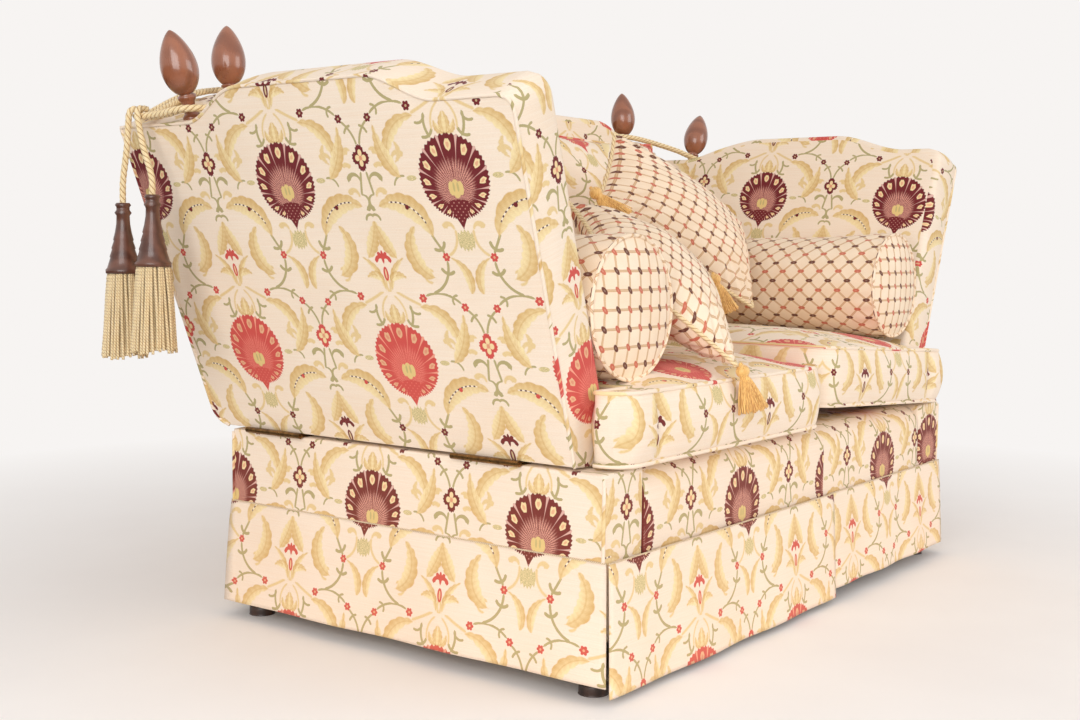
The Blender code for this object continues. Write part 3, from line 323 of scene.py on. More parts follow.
# %% Colours of the damask
CREAM = linear(253, 238, 220)
CREAM_SHADE = linear(249, 228, 204)
OLIVE = linear(180, 168, 116)
PALE_GOLD = linear(250, 230, 178)
DEEP_GOLD = linear(214, 170, 98)
PALE_THREAD = linear(253, 240, 218)
DARK_BUD = linear(84, 50, 62)
MAROON = linear(112, 30, 40)
CORAL = linear(214, 84, 78)
TEAR_CREAM = linear(248, 222, 170)
LILAC = linear(226, 164, 148)
ROSE = linear(236, 130, 116)
PALE_LILAC = linear(240, 196, 182)
PALE_ROSE = linear(248, 176, 150)
THREAD_BROWN = linear(150, 110, 80)
HEART_GOLD = linear(232, 204, 136)
FLOWER_CENTRE = -0.036
FLOWER_RADIUS = 0.0695
FLOWER_FOCUS = -0.062
PETALS_TURN = math.radians(24)
HAIR = 0.6 * MM
BERRIES = ((157, 66), (71, 80), (49, -169))

damask, damask_in, damask_out = new_group(
    "damask", [("Cloth", "NodeSocketVector")], [("Color", "NodeSocketColor"), ("Motif", "NodeSocketFloat")]
)
u, v, _ = split(damask, damask_in.outputs["Cloth"])
row_height = REPEAT_UP / 2
row = (v - CELL_LOW).node("DIVIDE", row_height).node("FLOOR")
y = row.times_plus(-row_height, v)
odd = row.node("FLOORED_MODULO", 2.0)
column = odd.times_plus(-REPEAT_ACROSS / 2, u)
x = column.node("WRAP", REPEAT_ACROSS / 2, -REPEAT_ACROSS / 2).size()
vines = largest([vine(x, y, *row_values) for row_values in VINES])
leaf_fields = [leaf(x, y, *row_values) for row_values in LEAVES]
gold = largest([fields[0] for fields in leaf_fields] + [vine(x, y, *row_values) for row_values in TENDRILS])
leaf_shade = leaf_fields[0][3]
for fields in leaf_fields[1:10]:
    leaf_shade = leaf_shade + fields[3]
fan = spot(x, y, 0, -141, 19, 17) + (x * 900.0).cosine() * 0.12
buds = largest([spot(x, y, 87, -36, 11, 4.8), fan])
print("nodes with the vines and leaves:", len(damask.nodes))

# %% [markdown]
# The flower is drawn round a focus low in its disc, where its ribs meet. A point's distance from
# the focus, as a share of the rim's distance that way, tells teardrops, ribs and heart apart.

# %% The flower, the quatrefoil and the sprig
dy = y - FLOWER_FOCUS
reach = (x.times_plus(x, dy * dy)).root()
sine, cosine = dy / reach, x / reach
drop = FLOWER_CENTRE - FLOWER_FOCUS
rim = (cosine * cosine).times_plus(-drop * drop, FLOWER_RADIUS**2).root() + sine * drop
turn = dy.node("ARCTAN2", x)
teeth = (turn * 62.0).sine()
share = reach / (rim + teeth * (1.5 * MM))
petal = turn.times_plus(1 / PETALS_TURN, -math.pi / 2 / PETALS_TURN)
beside = (petal - petal.node("ROUND")).size()
rib_bend = petal - petal.node("FLOOR") - 0.5
radial = (share - 0.800) * 9.6
narrowing = radial.times_plus(-1.5, 5.0)
tear = (beside * narrowing).node("POWER", 2.0).times_plus(-1.0, 1.0) - (radial * radial)
tear_ring = tear.soft(-0.60, -0.40)
tear_eye = tear.soft(0.70, 0.84)
disc = share.soft(1.0, 0.985)
rib_curve = (share - 0.55).node("POWER", 2.0).times_plus(-0.35, 0.035)
ribs = (rib_bend.size() + rib_curve).soft(0.062, 0.034) * share.soft(0.46, 0.54)
stipple_noise = noise(damask, damask_in.outputs["Cloth"], 900.0, 0.0)
rays = ((petal * 24.0).sine() * 0.16 + stipple_noise).soft(0.40, 0.54)
core = (share + (stipple_noise - 0.5) * 0.25).soft(0.62, 0.48)
heart = largest([spot(x, y, 0, -56, 9, 16), spot(x, y, 9, -55, 6, 12)]).soft(0.0, 0.08)
heart_dark = spot(x, y, 4, -53, 2.2, 8).soft(0.0, 0.1)
tail_width = y.times_plus(1.0, 0.124).node("MAXIMUM", 0.0).node("POWER", 1.2) * 1.16
tail_top = (x * x).times_plus(9.0, y)
tail = (tail_width.node("MINIMUM", 0.026) - x).soft(0.0, HAIR) * y.soft(-0.124, -0.1235)
tail = tail * tail_top.soft(-0.0725, -0.0735)
scales = ((x * 620.0).cosine() * (y * 620.0).sine()).soft(0.62, 0.80)
quatre_x, quatre_y = x - REPEAT_ACROSS / 2, y * 0.84
quatre_reach = (quatre_x.times_plus(quatre_x, quatre_y * quatre_y)).root()
quatre_turn = quatre_y.node("ARCTAN2", quatre_x)
quatre_lobes = (quatre_turn * 2.0).cosine().size().node("POWER", 0.5).times_plus(8.5 * MM, 10.5 * MM)
quatre_beads = (quatre_turn * 24.0).cosine().times_plus(0.8 * MM, quatre_lobes)
quatre = (quatre_beads - quatre_reach).soft(0.0, HAIR)
quatre_heart = (quatre_lobes * 1.35 - 13.2 * MM - quatre_reach).soft(0.0, HAIR)
quatre_eye = quatre_reach.soft(4.5 * MM, 2.5 * MM)
own_berries = largest([floret(x, y, *BERRIES[0], 8.0), floret(x, y, *BERRIES[1], 8.4)])
other_berry = floret(x, y, *BERRIES[2], 8.0)
berry_hearts = largest([spot(x, y, *berry, 2.4, 2.4) for berry in BERRIES])
sprig = largest([
    spot(x, y, 190, -170, 3.4, 12), spot(x, y, 190, -200, 5.6, 13),
    vine(x, y, (190, -184), (183, -170), (175, -181), 2.2, 0.4).times_plus(400.0, 0.0),
    vine(x, y, (190, -180), (184, -166), (179, -163), 2.0, 0.4).times_plus(400.0, 0.0),
])
sprig_line = spot(x, y, 190, -200, 2.0, 9).soft(0.0, 0.15)
slit_distance, slit_share = leaf_fields[2][1], leaf_fields[2][2]
slit = slit_distance.soft(SLIT_WIDTH, SLIT_WIDTH * 0.6) * slit_share.size().soft(0.62, 0.58)
slit_dots = (slit_share * 46.0).sine().soft(0.1, 0.3) * slit
slit_bud = spot(x, y, 109, -84, 4.4, 4.4).soft(0.0, 0.1)
print("nodes with the flower:", len(damask.nodes))

# %% Weave the motifs together
on_cloth = damask_in.outputs["Cloth"]
slub = noise(damask, stretched(damask, on_cloth, (9.0, 420.0, 1.0)), 1.0, 3.0, 0.6)
threads = noise(damask, stretched(damask, on_cloth, (260.0, 1500.0, 1.0)), 1.0, 1.0)
cloud = noise(damask, on_cloth, 5.0, 2.0)
fray = threads.times_plus(1.4 * MM, -0.7 * MM)
motif_tint = colour_mix(damask, odd, MAROON, CORAL)
motif_other = colour_mix(damask, odd, CORAL, MAROON)
centre_tint = colour_mix(damask, odd, LILAC, ROSE)
rib_tint = colour_mix(damask, odd, PALE_LILAC, PALE_ROSE)
ground = colour_mix(damask, (slub * 0.7 + cloud * 0.3).soft(0.30, 0.66), CREAM_SHADE, CREAM)
gold_tone = colour_mix(damask, (leaf_shade + threads * 0.5).soft(-0.35, 1.10), PALE_GOLD, DEEP_GOLD)
olive_tone = colour_mix(damask, threads.soft(0.35, 0.65), OLIVE, PALE_GOLD)
tone = ground
for mask, colour in (
    ((vines + fray).soft(0.0, 0.5 * MM) * 0.95, OLIVE),
    ((gold + fray).soft(-0.4 * MM, 1.8 * MM) * 0.95, gold_tone),
    (buds.soft(0.0, 0.08), olive_tone),
    (slit, PALE_THREAD),
    (slit_dots, DARK_BUD),
    (slit_bud, motif_tint),
    (disc, motif_tint),
    (disc * core * rays, centre_tint),
    (disc * ribs * 0.85, rib_tint),
    (disc * tear_ring * 0.85, motif_tint),
    (disc * tear.soft(0.0, 0.12) * odd.times_plus(-0.40, 1.0), TEAR_CREAM),
    (disc * tear_eye * 0.40, CORAL),
    (tail, motif_tint),
    (tail * scales * 0.6, centre_tint),
    (heart, HEART_GOLD),
    (heart_dark * 0.6, OLIVE),
    (quatre, motif_tint),
    (quatre_heart, TEAR_CREAM),
    (quatre_eye * 0.6, CORAL),
    (own_berries.soft(0.0, 0.08), motif_tint),
    (largest([other_berry, sprig]).soft(0.0, 0.08), motif_other),
    (berry_hearts.soft(0.0, 0.2) * 0.5, PALE_GOLD),
    (sprig_line * 0.7, PALE_GOLD),
    (threads.soft(0.30, 0.70) * 0.10, THREAD_BROWN),
):
    tone = colour_mix(damask, mask, tone, colour)
damask.links.new(tone, damask_out.inputs["Color"])
damask.links.new((gold.soft(0.0, 0.001) + disc).socket, damask_out.inputs["Motif"])
print("damask nodes:", len(damask.nodes))

# %% [markdown]
# ## The lattice cloth
# The bolsters and scatter cushions wear a second cloth: an ochre trellis with a woven bead on
# every crossing, brown and terracotta by turns. Two slanting coordinates give the trellis, and
# rounding them finds the nearest crossing, round which an ellipse is drawn.

# %% Trellis and beads
TRELLIS_CELL = 0.0335
BEAD_HALF = (0.0086, 0.0043)
TRELLIS_CREAM = linear(253, 235, 212)
TRELLIS_SHADE = linear(246, 220, 190)
OCHRE = linear(200, 152, 98)
BEAD_BROWN = linear(112, 68, 56)
BEAD_TERRACOTTA = linear(206, 116, 92)

lattice, lattice_in, lattice_out = new_group(
    "trellis", [("Cloth", "NodeSocketVector")], [("Color", "NodeSocketColor"), ("Motif", "NodeSocketFloat")]
)
u, v, _ = split(lattice, lattice_in.outputs["Cloth"])
per_cell = 1 / (TRELLIS_CELL * math.sqrt(2))
rise = u.times_plus(per_cell, v * per_cell)
fall = u.times_plus(per_cell, v * -per_cell)
rise_off, fall_off = rise - rise.node("ROUND"), fall - fall.node("ROUND")
bead_across = (rise_off + fall_off) * (TRELLIS_CELL / math.sqrt(2))
bead_up = (rise_off - fall_off) * (TRELLIS_CELL / math.sqrt(2))
bead_reach = (bead_across / BEAD_HALF[0]).node("POWER", 2.0) + (bead_up / BEAD_HALF[1]).node("POWER", 2.0)
bead = bead_reach.soft(1.15, 0.85)
bead_eye = bead_reach.soft(0.16, 0.06)
bead_row = (rise.node("ROUND") - fall.node("ROUND")).node("FLOORED_MODULO", 2.0)
line = rise_off.size().node("MINIMUM", fall_off.size())
threads = noise(lattice, stretched(lattice, lattice_in.outputs["Cloth"], (900.0, 900.0, 1.0)), 1.0, 1.0)
cloud = noise(lattice, lattice_in.outputs["Cloth"], 14.0, 2.0)
trellis = (line + (threads - 0.5) * 0.04).soft(0.082, 0.058)
tone = colour_mix(lattice, (cloud * 0.5 + threads * 0.5).soft(0.35, 0.62), TRELLIS_SHADE, TRELLIS_CREAM)
tone = colour_mix(lattice, trellis * line.soft(0.004, 0.022).times_plus(0.35, 0.40), tone, OCHRE)
tone = colour_mix(lattice, bead, tone, colour_mix(lattice, bead_row, BEAD_BROWN, BEAD_TERRACOTTA))
tone = colour_mix(lattice, bead * bead_eye * 0.16, tone, TRELLIS_CREAM)
lattice.links.new(tone, lattice_out.inputs["Color"])
lattice.links.new((bead + trellis).socket, lattice_out.inputs["Motif"])
print("trellis nodes:", len(lattice.nodes))

# %% [markdown]
# ## The weave, and the materials
# Both cloths share one weave: ribs of weft at a millimetre, with thicker slubs here and there.
# It only feeds the bump, so that the costly pattern is worked out once for each sample.

# %% Weave
RIB_UP, RIB_ACROSS = 1.1 * MM, 1.4 * MM
# Painted shade towards the floor: the height where it starts, and its warm tone.
LOW_SHADE_FROM = 0.55
LOW_SHADE_TONE = linear(214, 150, 96)
weave, weave_in, weave_out = new_group(
    "weave", [("Cloth", "NodeSocketVector")], [("Height", "NodeSocketFloat")]
)
across, along, _ = split(weave, weave_in.outputs["Cloth"])
ribs = (along * (math.tau / RIB_UP)).sine() * 0.5 + (across * (math.tau / RIB_ACROSS)).sine() * 0.5
slubs = noise(weave, stretched(weave, weave_in.outputs["Cloth"], (14.0, 500.0, 1.0)), 1.0, 2.0)
creases = noise(weave, weave_in.outputs["Cloth"], 11.0, 2.0)
weave.links.new((ribs * 0.14 + slubs * 0.5 + creases * 1.3).socket, weave_out.inputs["Height"])


def new_material(name, roughness, metallic=0.0, **constants):
    """A Principled material with its plain numbers on the shader's own sockets."""
    made = bpy.data.materials.new(name)
    made.use_nodes = True
    shader = made.node_tree.nodes["Principled BSDF"]
    shader.inputs["Roughness"].default_value = roughness
    shader.inputs["Metallic"].default_value = metallic
    for title, value in constants.items():
        shader.inputs[title.replace("_", " ")].default_value = value
    return made, made.node_tree, shader


def place_group(tree, group, **links):
    made = tree.nodes.new("ShaderNodeGroup")
    made.node_tree = group
    for title, value in links.items():
        if isinstance(value, bpy.types.NodeSocket):
            tree.links.new(value, made.inputs[title])
        else:
            made.inputs[title].default_value = value
    return made


def cloth_coordinates(tree):
    made = tree.nodes.new("ShaderNodeUVMap")
    made.uv_map = "cloth"
    return made.outputs["UV"]


def object_place(tree):
    return tree.nodes.new("ShaderNodeTexCoord").outputs["Object"]


def paint(tree, shader, mask, below, above):
    tree.links.new(colour_mix(tree, mask, below, above), shader.inputs["Base Color"])


def add_bump(tree, shader, height, distance, strength=1.0):
    bump = tree.nodes.new("ShaderNodeBump")
    bump.inputs["Distance"].default_value = distance
    bump.inputs["Strength"].default_value = strength
    tree.links.new(height, bump.inputs["Height"])
    tree.links.new(bump.outputs["Normal"], shader.inputs["Normal"])


def cloth_material(name, pattern):
    """A pattern's colours, with a warm painted shade that grows towards the floor, over the weave's relief.
    """
    made, tree, shader = new_material(
        name, 0.82, Sheen_Weight=0.12, Sheen_Roughness=0.4, Specular_IOR_Level=0.25
    )
    cloth, place = cloth_coordinates(tree), object_place(tree)
    colour = place_group(tree, pattern, Cloth=cloth).outputs["Color"]
    # Painted shade: below a set height the cloth is mixed, in patches, towards a warmer, darker tone near the
    # floor.
    low_shade = split(tree, place)[2].soft(LOW_SHADE_FROM, 0.0) * noise(tree, place, 4.0, 3.0).times_plus(0.24, 0.04)
    paint(tree, shader, low_shade, colour, LOW_SHADE_TONE)
    add_bump(tree, shader, place_group(tree, weave, Cloth=cloth).outputs["Height"], 0.0012, 0.6)
    return made


DAMASK = cloth_material("damask_cloth", damask)
LATTICE = cloth_material("trellis_cloth", lattice)
print("cloths:", DAMASK.name, LATTICE.name)

# %% [markdown]
# ## Rope, fringe, wood and brass
# A rope's map has its length in one direction and its turn in the other, so the painted shade in
# the grooves between strands is a sine of both. Wood grain is a stretched noise on the object's own place.

# %% Rope and fringe
ROPE_GOLD = linear(238, 208, 150)
ROPE_SHADE = linear(176, 128, 66)
ROPE_CREAM = linear(252, 236, 200)
ROPE_TWIST = 0.034

twist, twist_in, twist_out = new_group(
    "twist",
    [("Cloth", "NodeSocketVector"), ("Pitch", "NodeSocketFloat"), ("Strands", "NodeSocketFloat")],
    [("Groove", "NodeSocketFloat"), ("Fibre", "NodeSocketFloat")],
)
length, turn, _ = split(twist, twist_in.outputs["Cloth"])
pitch = Field(twist, twist_in.outputs["Pitch"])
strands = Field(twist, twist_in.outputs["Strands"])
phase = (turn - length / pitch) * strands * math.pi
# The groove mask places the painted shade between the strands.
twist.links.new(phase.cosine().size().soft(0.55, 0.05).socket, twist_out.inputs["Groove"])
yarns = (phase * 7.0 + length * 900.0).sine() * 0.5 + 0.5
twist.links.new(yarns.socket, twist_out.inputs["Fibre"])


def cord_material(name, light, shade, pitch, strands):
    made, tree, shader = new_material(name, 0.62, Sheen_Weight=0.2, Specular_IOR_Level=0.35)
    turns = place_group(tree, twist, Cloth=cloth_coordinates(tree), Pitch=pitch, Strands=strands)
    groove, fibre = Field(tree, turns.outputs["Groove"]), Field(tree, turns.outputs["Fibre"])
    patches = noise(tree, object_place(tree), 60.0, 2.0)
    tone = colour_mix(tree, (fibre * 0.6 + patches * 0.4).soft(0.2, 0.8), light, ROPE_CREAM)
    # Painted shade: the grooves between strands are darkened towards the shade tone.
    paint(tree, shader, groove * 0.85, tone, shade)
    add_bump(tree, shader, (fibre * 0.5 - groove).socket, 0.0006)
    return made


def flecked_material(name, stretch, detail, limits, tones, relief, roughness, metallic=0.0, **constants):
    """Two tones mixed by a noise on the object's own place, which is the relief too."""
    made, tree, shader = new_material(name, roughness, metallic, **constants)
    flecks = noise(tree, stretched(tree, object_place(tree), stretch), 1.0, detail)
    paint(tree, shader, flecks.soft(*limits), *tones)
    add_bump(tree, shader, flecks.socket, relief)
    return made, tree, shader, flecks


ROPE = cord_material("gold_rope", ROPE_GOLD, ROPE_SHADE, ROPE_TWIST, 3.0)
FRINGE = cord_material("bullion_fringe", ROPE_GOLD, ROPE_SHADE, 0.011, 2.0)
# A darker cord along the top seam of the valances.
SEAM = cord_material("darker_seam_cord", linear(222, 186, 148), linear(150, 104, 74), 0.008, 2.0)
SILK_TONES = (linear(206, 144, 70), linear(250, 208, 128))
SILKY, *_ = flecked_material(
    "silky_tassel", (520.0, 520.0, 14.0), 2.0, (0.32, 0.66), SILK_TONES, 0.0004, 0.42,
    Sheen_Weight=0.3, Specular_IOR_Level=0.5,
)
print("cords:", ROPE.name, FRINGE.name, SEAM.name, SILKY.name)

# %% Wood, brass and lining
MAHOGANY_TONES = (linear(132, 78, 54), linear(158, 98, 70), 46.0)
BELL_TONES = (linear(84, 50, 38), linear(112, 70, 54), 46.0)
DARK_WOOD_TONES = (linear(34, 20, 14), linear(66, 42, 30), 60.0)
FRAME_TONES = (linear(168, 128, 84), linear(214, 178, 128), 22.0)
# Both brass tones are darkened as painted shade, for hinges that sit in the dark seam under the arms; the
# noise flecks between the tones are tarnish.
SHADED_BRASS_TONES = (linear(150, 112, 66), linear(86, 62, 40))
LINING_TONES = (linear(26, 24, 24), linear(58, 54, 52))

grain, grain_in, grain_out = new_group(
    "grain", [("Vector", "NodeSocketVector"), ("Scale", "NodeSocketFloat")], [("Grain", "NodeSocketFloat")]
)
scale = Field(grain, grain_in.outputs["Scale"])
warp = noise(grain, grain_in.outputs["Vector"], 9.0, 2.0)
gx, gy, gz = split(grain, grain_in.outputs["Vector"])
rings = ((gx + gy * 0.6 + warp * 0.09 + gz * 0.25) * scale * 5.0).sine() * 0.5 + 0.5
pores = noise(grain, stretched(grain, grain_in.outputs["Vector"], (700.0, 700.0, 40.0)), 1.0, 2.0)
grain.links.new((rings * 0.55 + pores * 0.45).socket, grain_out.inputs["Grain"])


def wood_material(name, tones, roughness, coat):
    dark, light, fineness = tones
    made, tree, shader = new_material(name, roughness, Coat_Weight=coat, Coat_Roughness=0.08)
    figure = place_group(tree, grain, Vector=object_place(tree), Scale=fineness)
    figure = Field(tree, figure.outputs["Grain"])
    paint(tree, shader, figure.soft(0.2, 0.8), dark, light)
    tree.links.new(figure.times_plus(0.15, roughness - 0.05).socket, shader.inputs["Roughness"])
    add_bump(tree, shader, figure.socket, 0.0002, 0.5)
    return made


MAHOGANY = wood_material("polished_mahogany", MAHOGANY_TONES, 0.24, 0.6)
BELL_WOOD = wood_material("bell_mahogany", BELL_TONES, 0.34, 0.3)
DARK_WOOD = wood_material("dark_wood", DARK_WOOD_TONES, 0.42, 0.1)
FRAME_WOOD = wood_material("frame_wood", FRAME_TONES, 0.66, 0.0)
BRASS, tree, shader, tarnish = flecked_material(
    "brass", (90.0, 90.0, 90.0), 4.0, (0.35, 0.75), SHADED_BRASS_TONES, 0.0001, 0.32, 1.0
)
tree.links.new(tarnish.times_plus(0.35, 0.15).socket, shader.inputs["Roughness"])
LINING, *_ = flecked_material(
    "black_lining", (1200.0, 240.0, 240.0), 2.0, (0.3, 0.7), LINING_TONES, 0.0004, 0.9
)
print("materials:", len(bpy.data.materials), "groups:", len(bpy.data.node_groups))

# %% [markdown]
# ## From arrays to a mesh
# Every piece below is a set of patches: a grid of points with the same grid of places on the
# cloth. The patches of one piece are joined, points that lie together are merged, and the faces
# are turned outwards. The map stays with the corners of the faces, so seams stay sharp in it.

# %% Shells
MERGE = 0.04 * MM


def joined(*values):
    """Arrays broadcast to one shape, side by side along a new last axis."""
    return np.stack(np.broadcast_arrays(*values), axis=-1)


def grid_faces(rows, columns):
    """Four corners for each cell of a grid of points numbered row by row."""
    index = np.arange(rows * columns).reshape(rows, columns)
    return joined(index[:-1, :-1], index[:-1, 1:], index[1:, 1:], index[1:, :-1]).reshape(-1, 4)


def new_shell(name, patches, material, shift=SHIFT):
    """One closed mesh from patches of (points, cloth places), in metres."""
    points, places, faces, start = [], [], [], 0
    for grid, cloth in patches:
        rows, columns = grid.shape[:2]
        points.append(grid.reshape(-1, 3))
        places.append(np.broadcast_to(cloth, (rows, columns, 2)).reshape(-1, 2))
        faces.append(grid_faces(rows, columns) + start)
        start += rows * columns
    points, places, faces = np.concatenate(points) + shift, np.concatenate(places), np.concatenate(faces)
    mesh = bpy.data.meshes.new(name)
    mesh.from_pydata(points, [], faces.tolist())
    layer = mesh.uv_layers.new(name="cloth")
    corners = np.zeros(len(mesh.loops), dtype=np.int32)
    mesh.loops.foreach_get("vertex_index", corners)
    layer.data.foreach_set("uv", places[corners].astype(np.float32).ravel())
    bm = bmesh.new()
    bm.from_mesh(mesh)
    bmesh.ops.remove_doubles(bm, verts=bm.verts, dist=MERGE)
    bmesh.ops.dissolve_degenerate(bm, edges=bm.edges, dist=MERGE / 4)
    bmesh.ops.recalc_face_normals(bm, faces=bm.faces)
    if bm.calc_volume(signed=True) < 0:
        bmesh.ops.reverse_faces(bm, faces=bm.faces)
    bm.to_mesh(mesh)
    bm.free()
    mesh.materials.append(material)
    mesh.shade_smooth()
    made = bpy.data.objects.new(name, mesh)
    bpy.context.scene.collection.objects.link(made)
    return made


def dress(piece, body, slot, *nodes):
    """Sets a piece on its body and hides the solids that it stands for. The finish's name, slot, is not used.
    """
    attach(piece, body)
    if nodes:
        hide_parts(*nodes)
    return piece


def padded_piece(name, patches, material, body, slot, node, shift=SHIFT):
    """A stuffed cover, dressed."""
    dress(new_shell(name, patches, material, shift), body, slot, node)


def ease(start, end, value):
    """0 at start, 1 at end, with a smooth run between."""
    t = np.clip((value - start) / (end - start), 0, 1)
    return t * t * (3 - 2 * t)


def smooth_path(route, per_span, closed=False):
    """Points of a Catmull-Rom curve through the route: a cubic over each span from its four neighbours."""
    route = np.array(route, float)
    count = len(route)
    spans = np.arange(count if closed else count - 1)
    around = spans[:, None] + np.arange(-1, 3)
    around = around % count if closed else np.clip(around, 0, count - 1)
    before, start, end, after = (route[around[:, i], None, :] for i in range(4))
    t = (np.arange(per_span) / per_span)[None, :, None]
    bend, turn = 2 * before - 5 * start + 4 * end - after, 3 * start - before - 3 * end + after
    points = (2 * start + (end - before) * t + bend * t**2 + turn * t**3) / 2
    points = points.reshape(-1, route.shape[1])
    return points if closed else np.vstack([points, route[-1:]])


def even_path(points, step):
    """The same line with points at an even step, and the run along it."""
    lengths = np.linalg.norm(np.diff(points, axis=0), axis=1)
    run = np.concatenate([[0.0], np.cumsum(lengths)])
    count = max(4, int(round(run[-1] / step)) + 1)
    even = np.linspace(0, run[-1], count)
    return np.stack([np.interp(even, run, points[:, axis]) for axis in range(points.shape[1])], axis=1), even


def tube_patches(path, run, radius, sides, section=None, cloth=None, reference=(0, 0, 1), capped=True):
    """A tube: at each point of the path a ring of sides points, its radius scaled by section(turn, run)."""
    ahead = np.gradient(path, axis=0)
    ahead /= np.linalg.norm(ahead, axis=1, keepdims=True)
    across = np.cross(ahead, np.array(reference, float))
    across /= np.linalg.norm(across, axis=1, keepdims=True)
    above = np.cross(across, ahead)
    turn = np.linspace(0, math.tau, sides + 1)
    reach = radius * (section(turn[None, :], run[:, None]) if section else np.ones((len(path), sides + 1)))
    reach = reach[:, :, None]
    rings = np.cos(turn)[:, None] * across[:, None] + np.sin(turn)[:, None] * above[:, None]
    rings = path[:, None] + reach * rings
    rings[:, -1] = rings[:, 0]
    if cloth is None:
        places = joined(run[:, None], turn[None, :] / math.tau)
    else:
        places = cloth[:, None] + joined(np.zeros_like(turn), turn / math.tau * 0.02)[None]
    patches = [(rings, places)]
    if capped:
        for end in (0, -1):
            middle = np.broadcast_to(path[end], rings[end].shape)
            patches.append((np.stack([rings[end], middle]), np.stack([places[end], places[end]])))
    return patches


def turned_patches(profile, sides=64):
    """A profile of (radius, height) turned about Z, its map running round and up."""
    turn = np.linspace(0, math.tau, sides + 1)
    radius, height = np.array(profile, float).T[:, :, None]
    points = joined(radius * np.cos(turn), radius * np.sin(turn), height)
    points[:, -1] = points[:, 0]
    return points, joined(turn * 0.03, height)


def stand(points, up, origin):
    """Stands points made about Z on an origin, with Z along up."""
    turn = np.array(Vector((0, 0, 1)).rotation_difference(Vector(up)).to_matrix())
    return points @ turn.T + np.array(origin)

print("faces in a grid of 3 x 4 points:", len(grid_faces(3, 4)))


# %% [markdown]
# ## A padded slab
# Arms, back and arm bases are boards with padding and a cover drawn over them. One function makes
# them all: a flat face on each side, and rings between them that follow a rounded edge. The cover
# has a seam with piping along one face's edge only, as the photograph shows.

# %% Slabs and piping
PIPING_RADIUS, SEAM_INSET = 0.0032, 0.001
PANEL_EDGE = (0.005, 0.016, 0.003)
FACE_SWELL = 0.007
EDGE_STEPS = np.radians(np.linspace(0, 90, 6))


def edge_profile(thickness, outer_round, inner_round, swell):
    """Pairs of (inset, depth) from face to face: a quarter round, a swollen band, a quarter round."""
    start = [(outer_round * (1 - math.sin(a)), -outer_round * (1 - math.cos(a))) for a in EDGE_STEPS]
    end = [(inner_round * (1 - math.cos(a)), inner_round * (1 - math.sin(a)) - thickness) for a in EDGE_STEPS]
    depths = np.linspace(-outer_round, inner_round - thickness, 9)[1:-1]
    share = (depths + outer_round) / (inner_round - thickness + outer_round)
    band = [(-swell * math.sin(math.pi * s), d) for s, d in zip(share, depths)]
    return start + band + end


def slab_patches(place, cloth, rows, columns, profile):
    """Faces and edges: place and cloth turn shares (s, q), inset and depth into points and their map."""
    even = np.linspace(0, 1, rows)
    s, q = np.meshgrid(np.linspace(0, 1, columns), 0.5 * even + 0.25 * (1 - np.cos(math.pi * even)))
    inset, depth = np.array(profile).T
    patches = []
    for face, end in (("outer", 0), ("inner", -1)):
        grid = (s, q, np.full_like(s, inset[end]), np.full_like(s, depth[end]))
        patches.append((place(*grid, face), cloth(face, *grid)))
    up, along = q[:, 0], s[0]
    edges = {
        "front": (0 * up, up), "rear": (0 * up + 1, up),
        "top": (along, 0 * along + 1), "bottom": (along, 0 * along),
    }
    for name, (edge_s, edge_q) in edges.items():
        grid = np.broadcast_arrays(edge_s[None], edge_q[None], inset[:, None], depth[:, None])
        patches.append((place(*grid, "edge"), cloth(name, *grid)))
    return patches


def bow(s, q, flat_s, flat_q):
    """A bulge with a flat top: (1 - |2s - 1|^a)(1 - |2q - 1|^b)."""
    return (1 - np.abs(2 * s - 1) ** flat_s) * (1 - np.abs(2 * q - 1) ** flat_q)


def piping_patches(path, cloth, radius=PIPING_RADIUS, reference=(0, 0, 1), sides=10):
    path, run = even_path(np.concatenate([path, cloth], axis=1), 0.008)
    return tube_patches(path[:, :3], run, radius, sides, cloth=path[:, 3:], reference=reference)


def seam_round(place, cloth, count, reference):
    """Piping along the front, top and rear edges of a slab's outer face."""
    run = np.linspace(0, 1, count)
    edge_s = np.concatenate([0 * run, run, 0 * run + 1])
    edge_q = np.concatenate([run, 0 * run + 1, run[::-1]])
    inset = np.full_like(edge_s, SEAM_INSET)
    line = place(edge_s, edge_q, inset, 0 * edge_s, "edge")
    return piping_patches(line, cloth("outer", edge_s, edge_q, inset, 0 * edge_s), reference=reference)

print("steps round a panel's edge:", len(edge_profile(0.110, *PANEL_EDGE)))


# %% [markdown]
# ## The drop arms
# An arm is a leaning board with a hump along its top. Padding makes its faces swell, and the
# cover pulls tight at the corners. A slow wave or two stands in for the pull of the cloth.

# %% Arm panels
ARM_LEAN = math.radians(18.45)
ARM_THICKNESS = 0.110
ARM_BOTTOM = 0.3813
ARM_SLOPE = 0.609
HUMP_RISE = {"left": 0.057, "right": 0.052}
HUMP_ENDS = {"left": (0.345, 0.190, -0.250, -0.110), "right": (0.345, 0.110, -0.300, -0.110)}
SHELF_RISE = {"left": 0.010, "right": 0.008}
TOP_SLANT = {"left": 0.016, "right": 0.0}
ARM_TOP_CORNER = 0.026
ARM_FRONT, ARM_FRONT_RAKE = -0.388, 0.015
ARM_REAR, ARM_REAR_RAKE, ARM_REAR_CORNER = 0.493, 0.042, 0.040
OUTER_CLOTH = (-0.118, -0.532)
INNER_CLOTH = (-0.066, -0.521)
INNER_SLANT, FAR_BAND_MOVE = -0.055, 0.045
BAND_CLOTH = (0.112, -0.480)


def arm_top(side, y, depth):
    """Slope height of the top edge: a shelf, an eased rise to the hump, an eased fall and a slant inwards."""
    rear_foot, rear_top, front_foot, front_top = HUMP_ENDS[side]
    hump = ease(rear_foot, rear_top, y) * ease(front_foot, front_top, y)
    slant = TOP_SLANT[side] * np.clip(-depth / ARM_THICKNESS, 0, 1) ** 0.8 * (1 - 0.75 * hump)
    shelf = ARM_SLOPE + (SHELF_RISE[side] + slant) * ease(0.330, 0.230, y)
    return shelf + (HUMP_RISE[side] - SHELF_RISE[side]) * hump


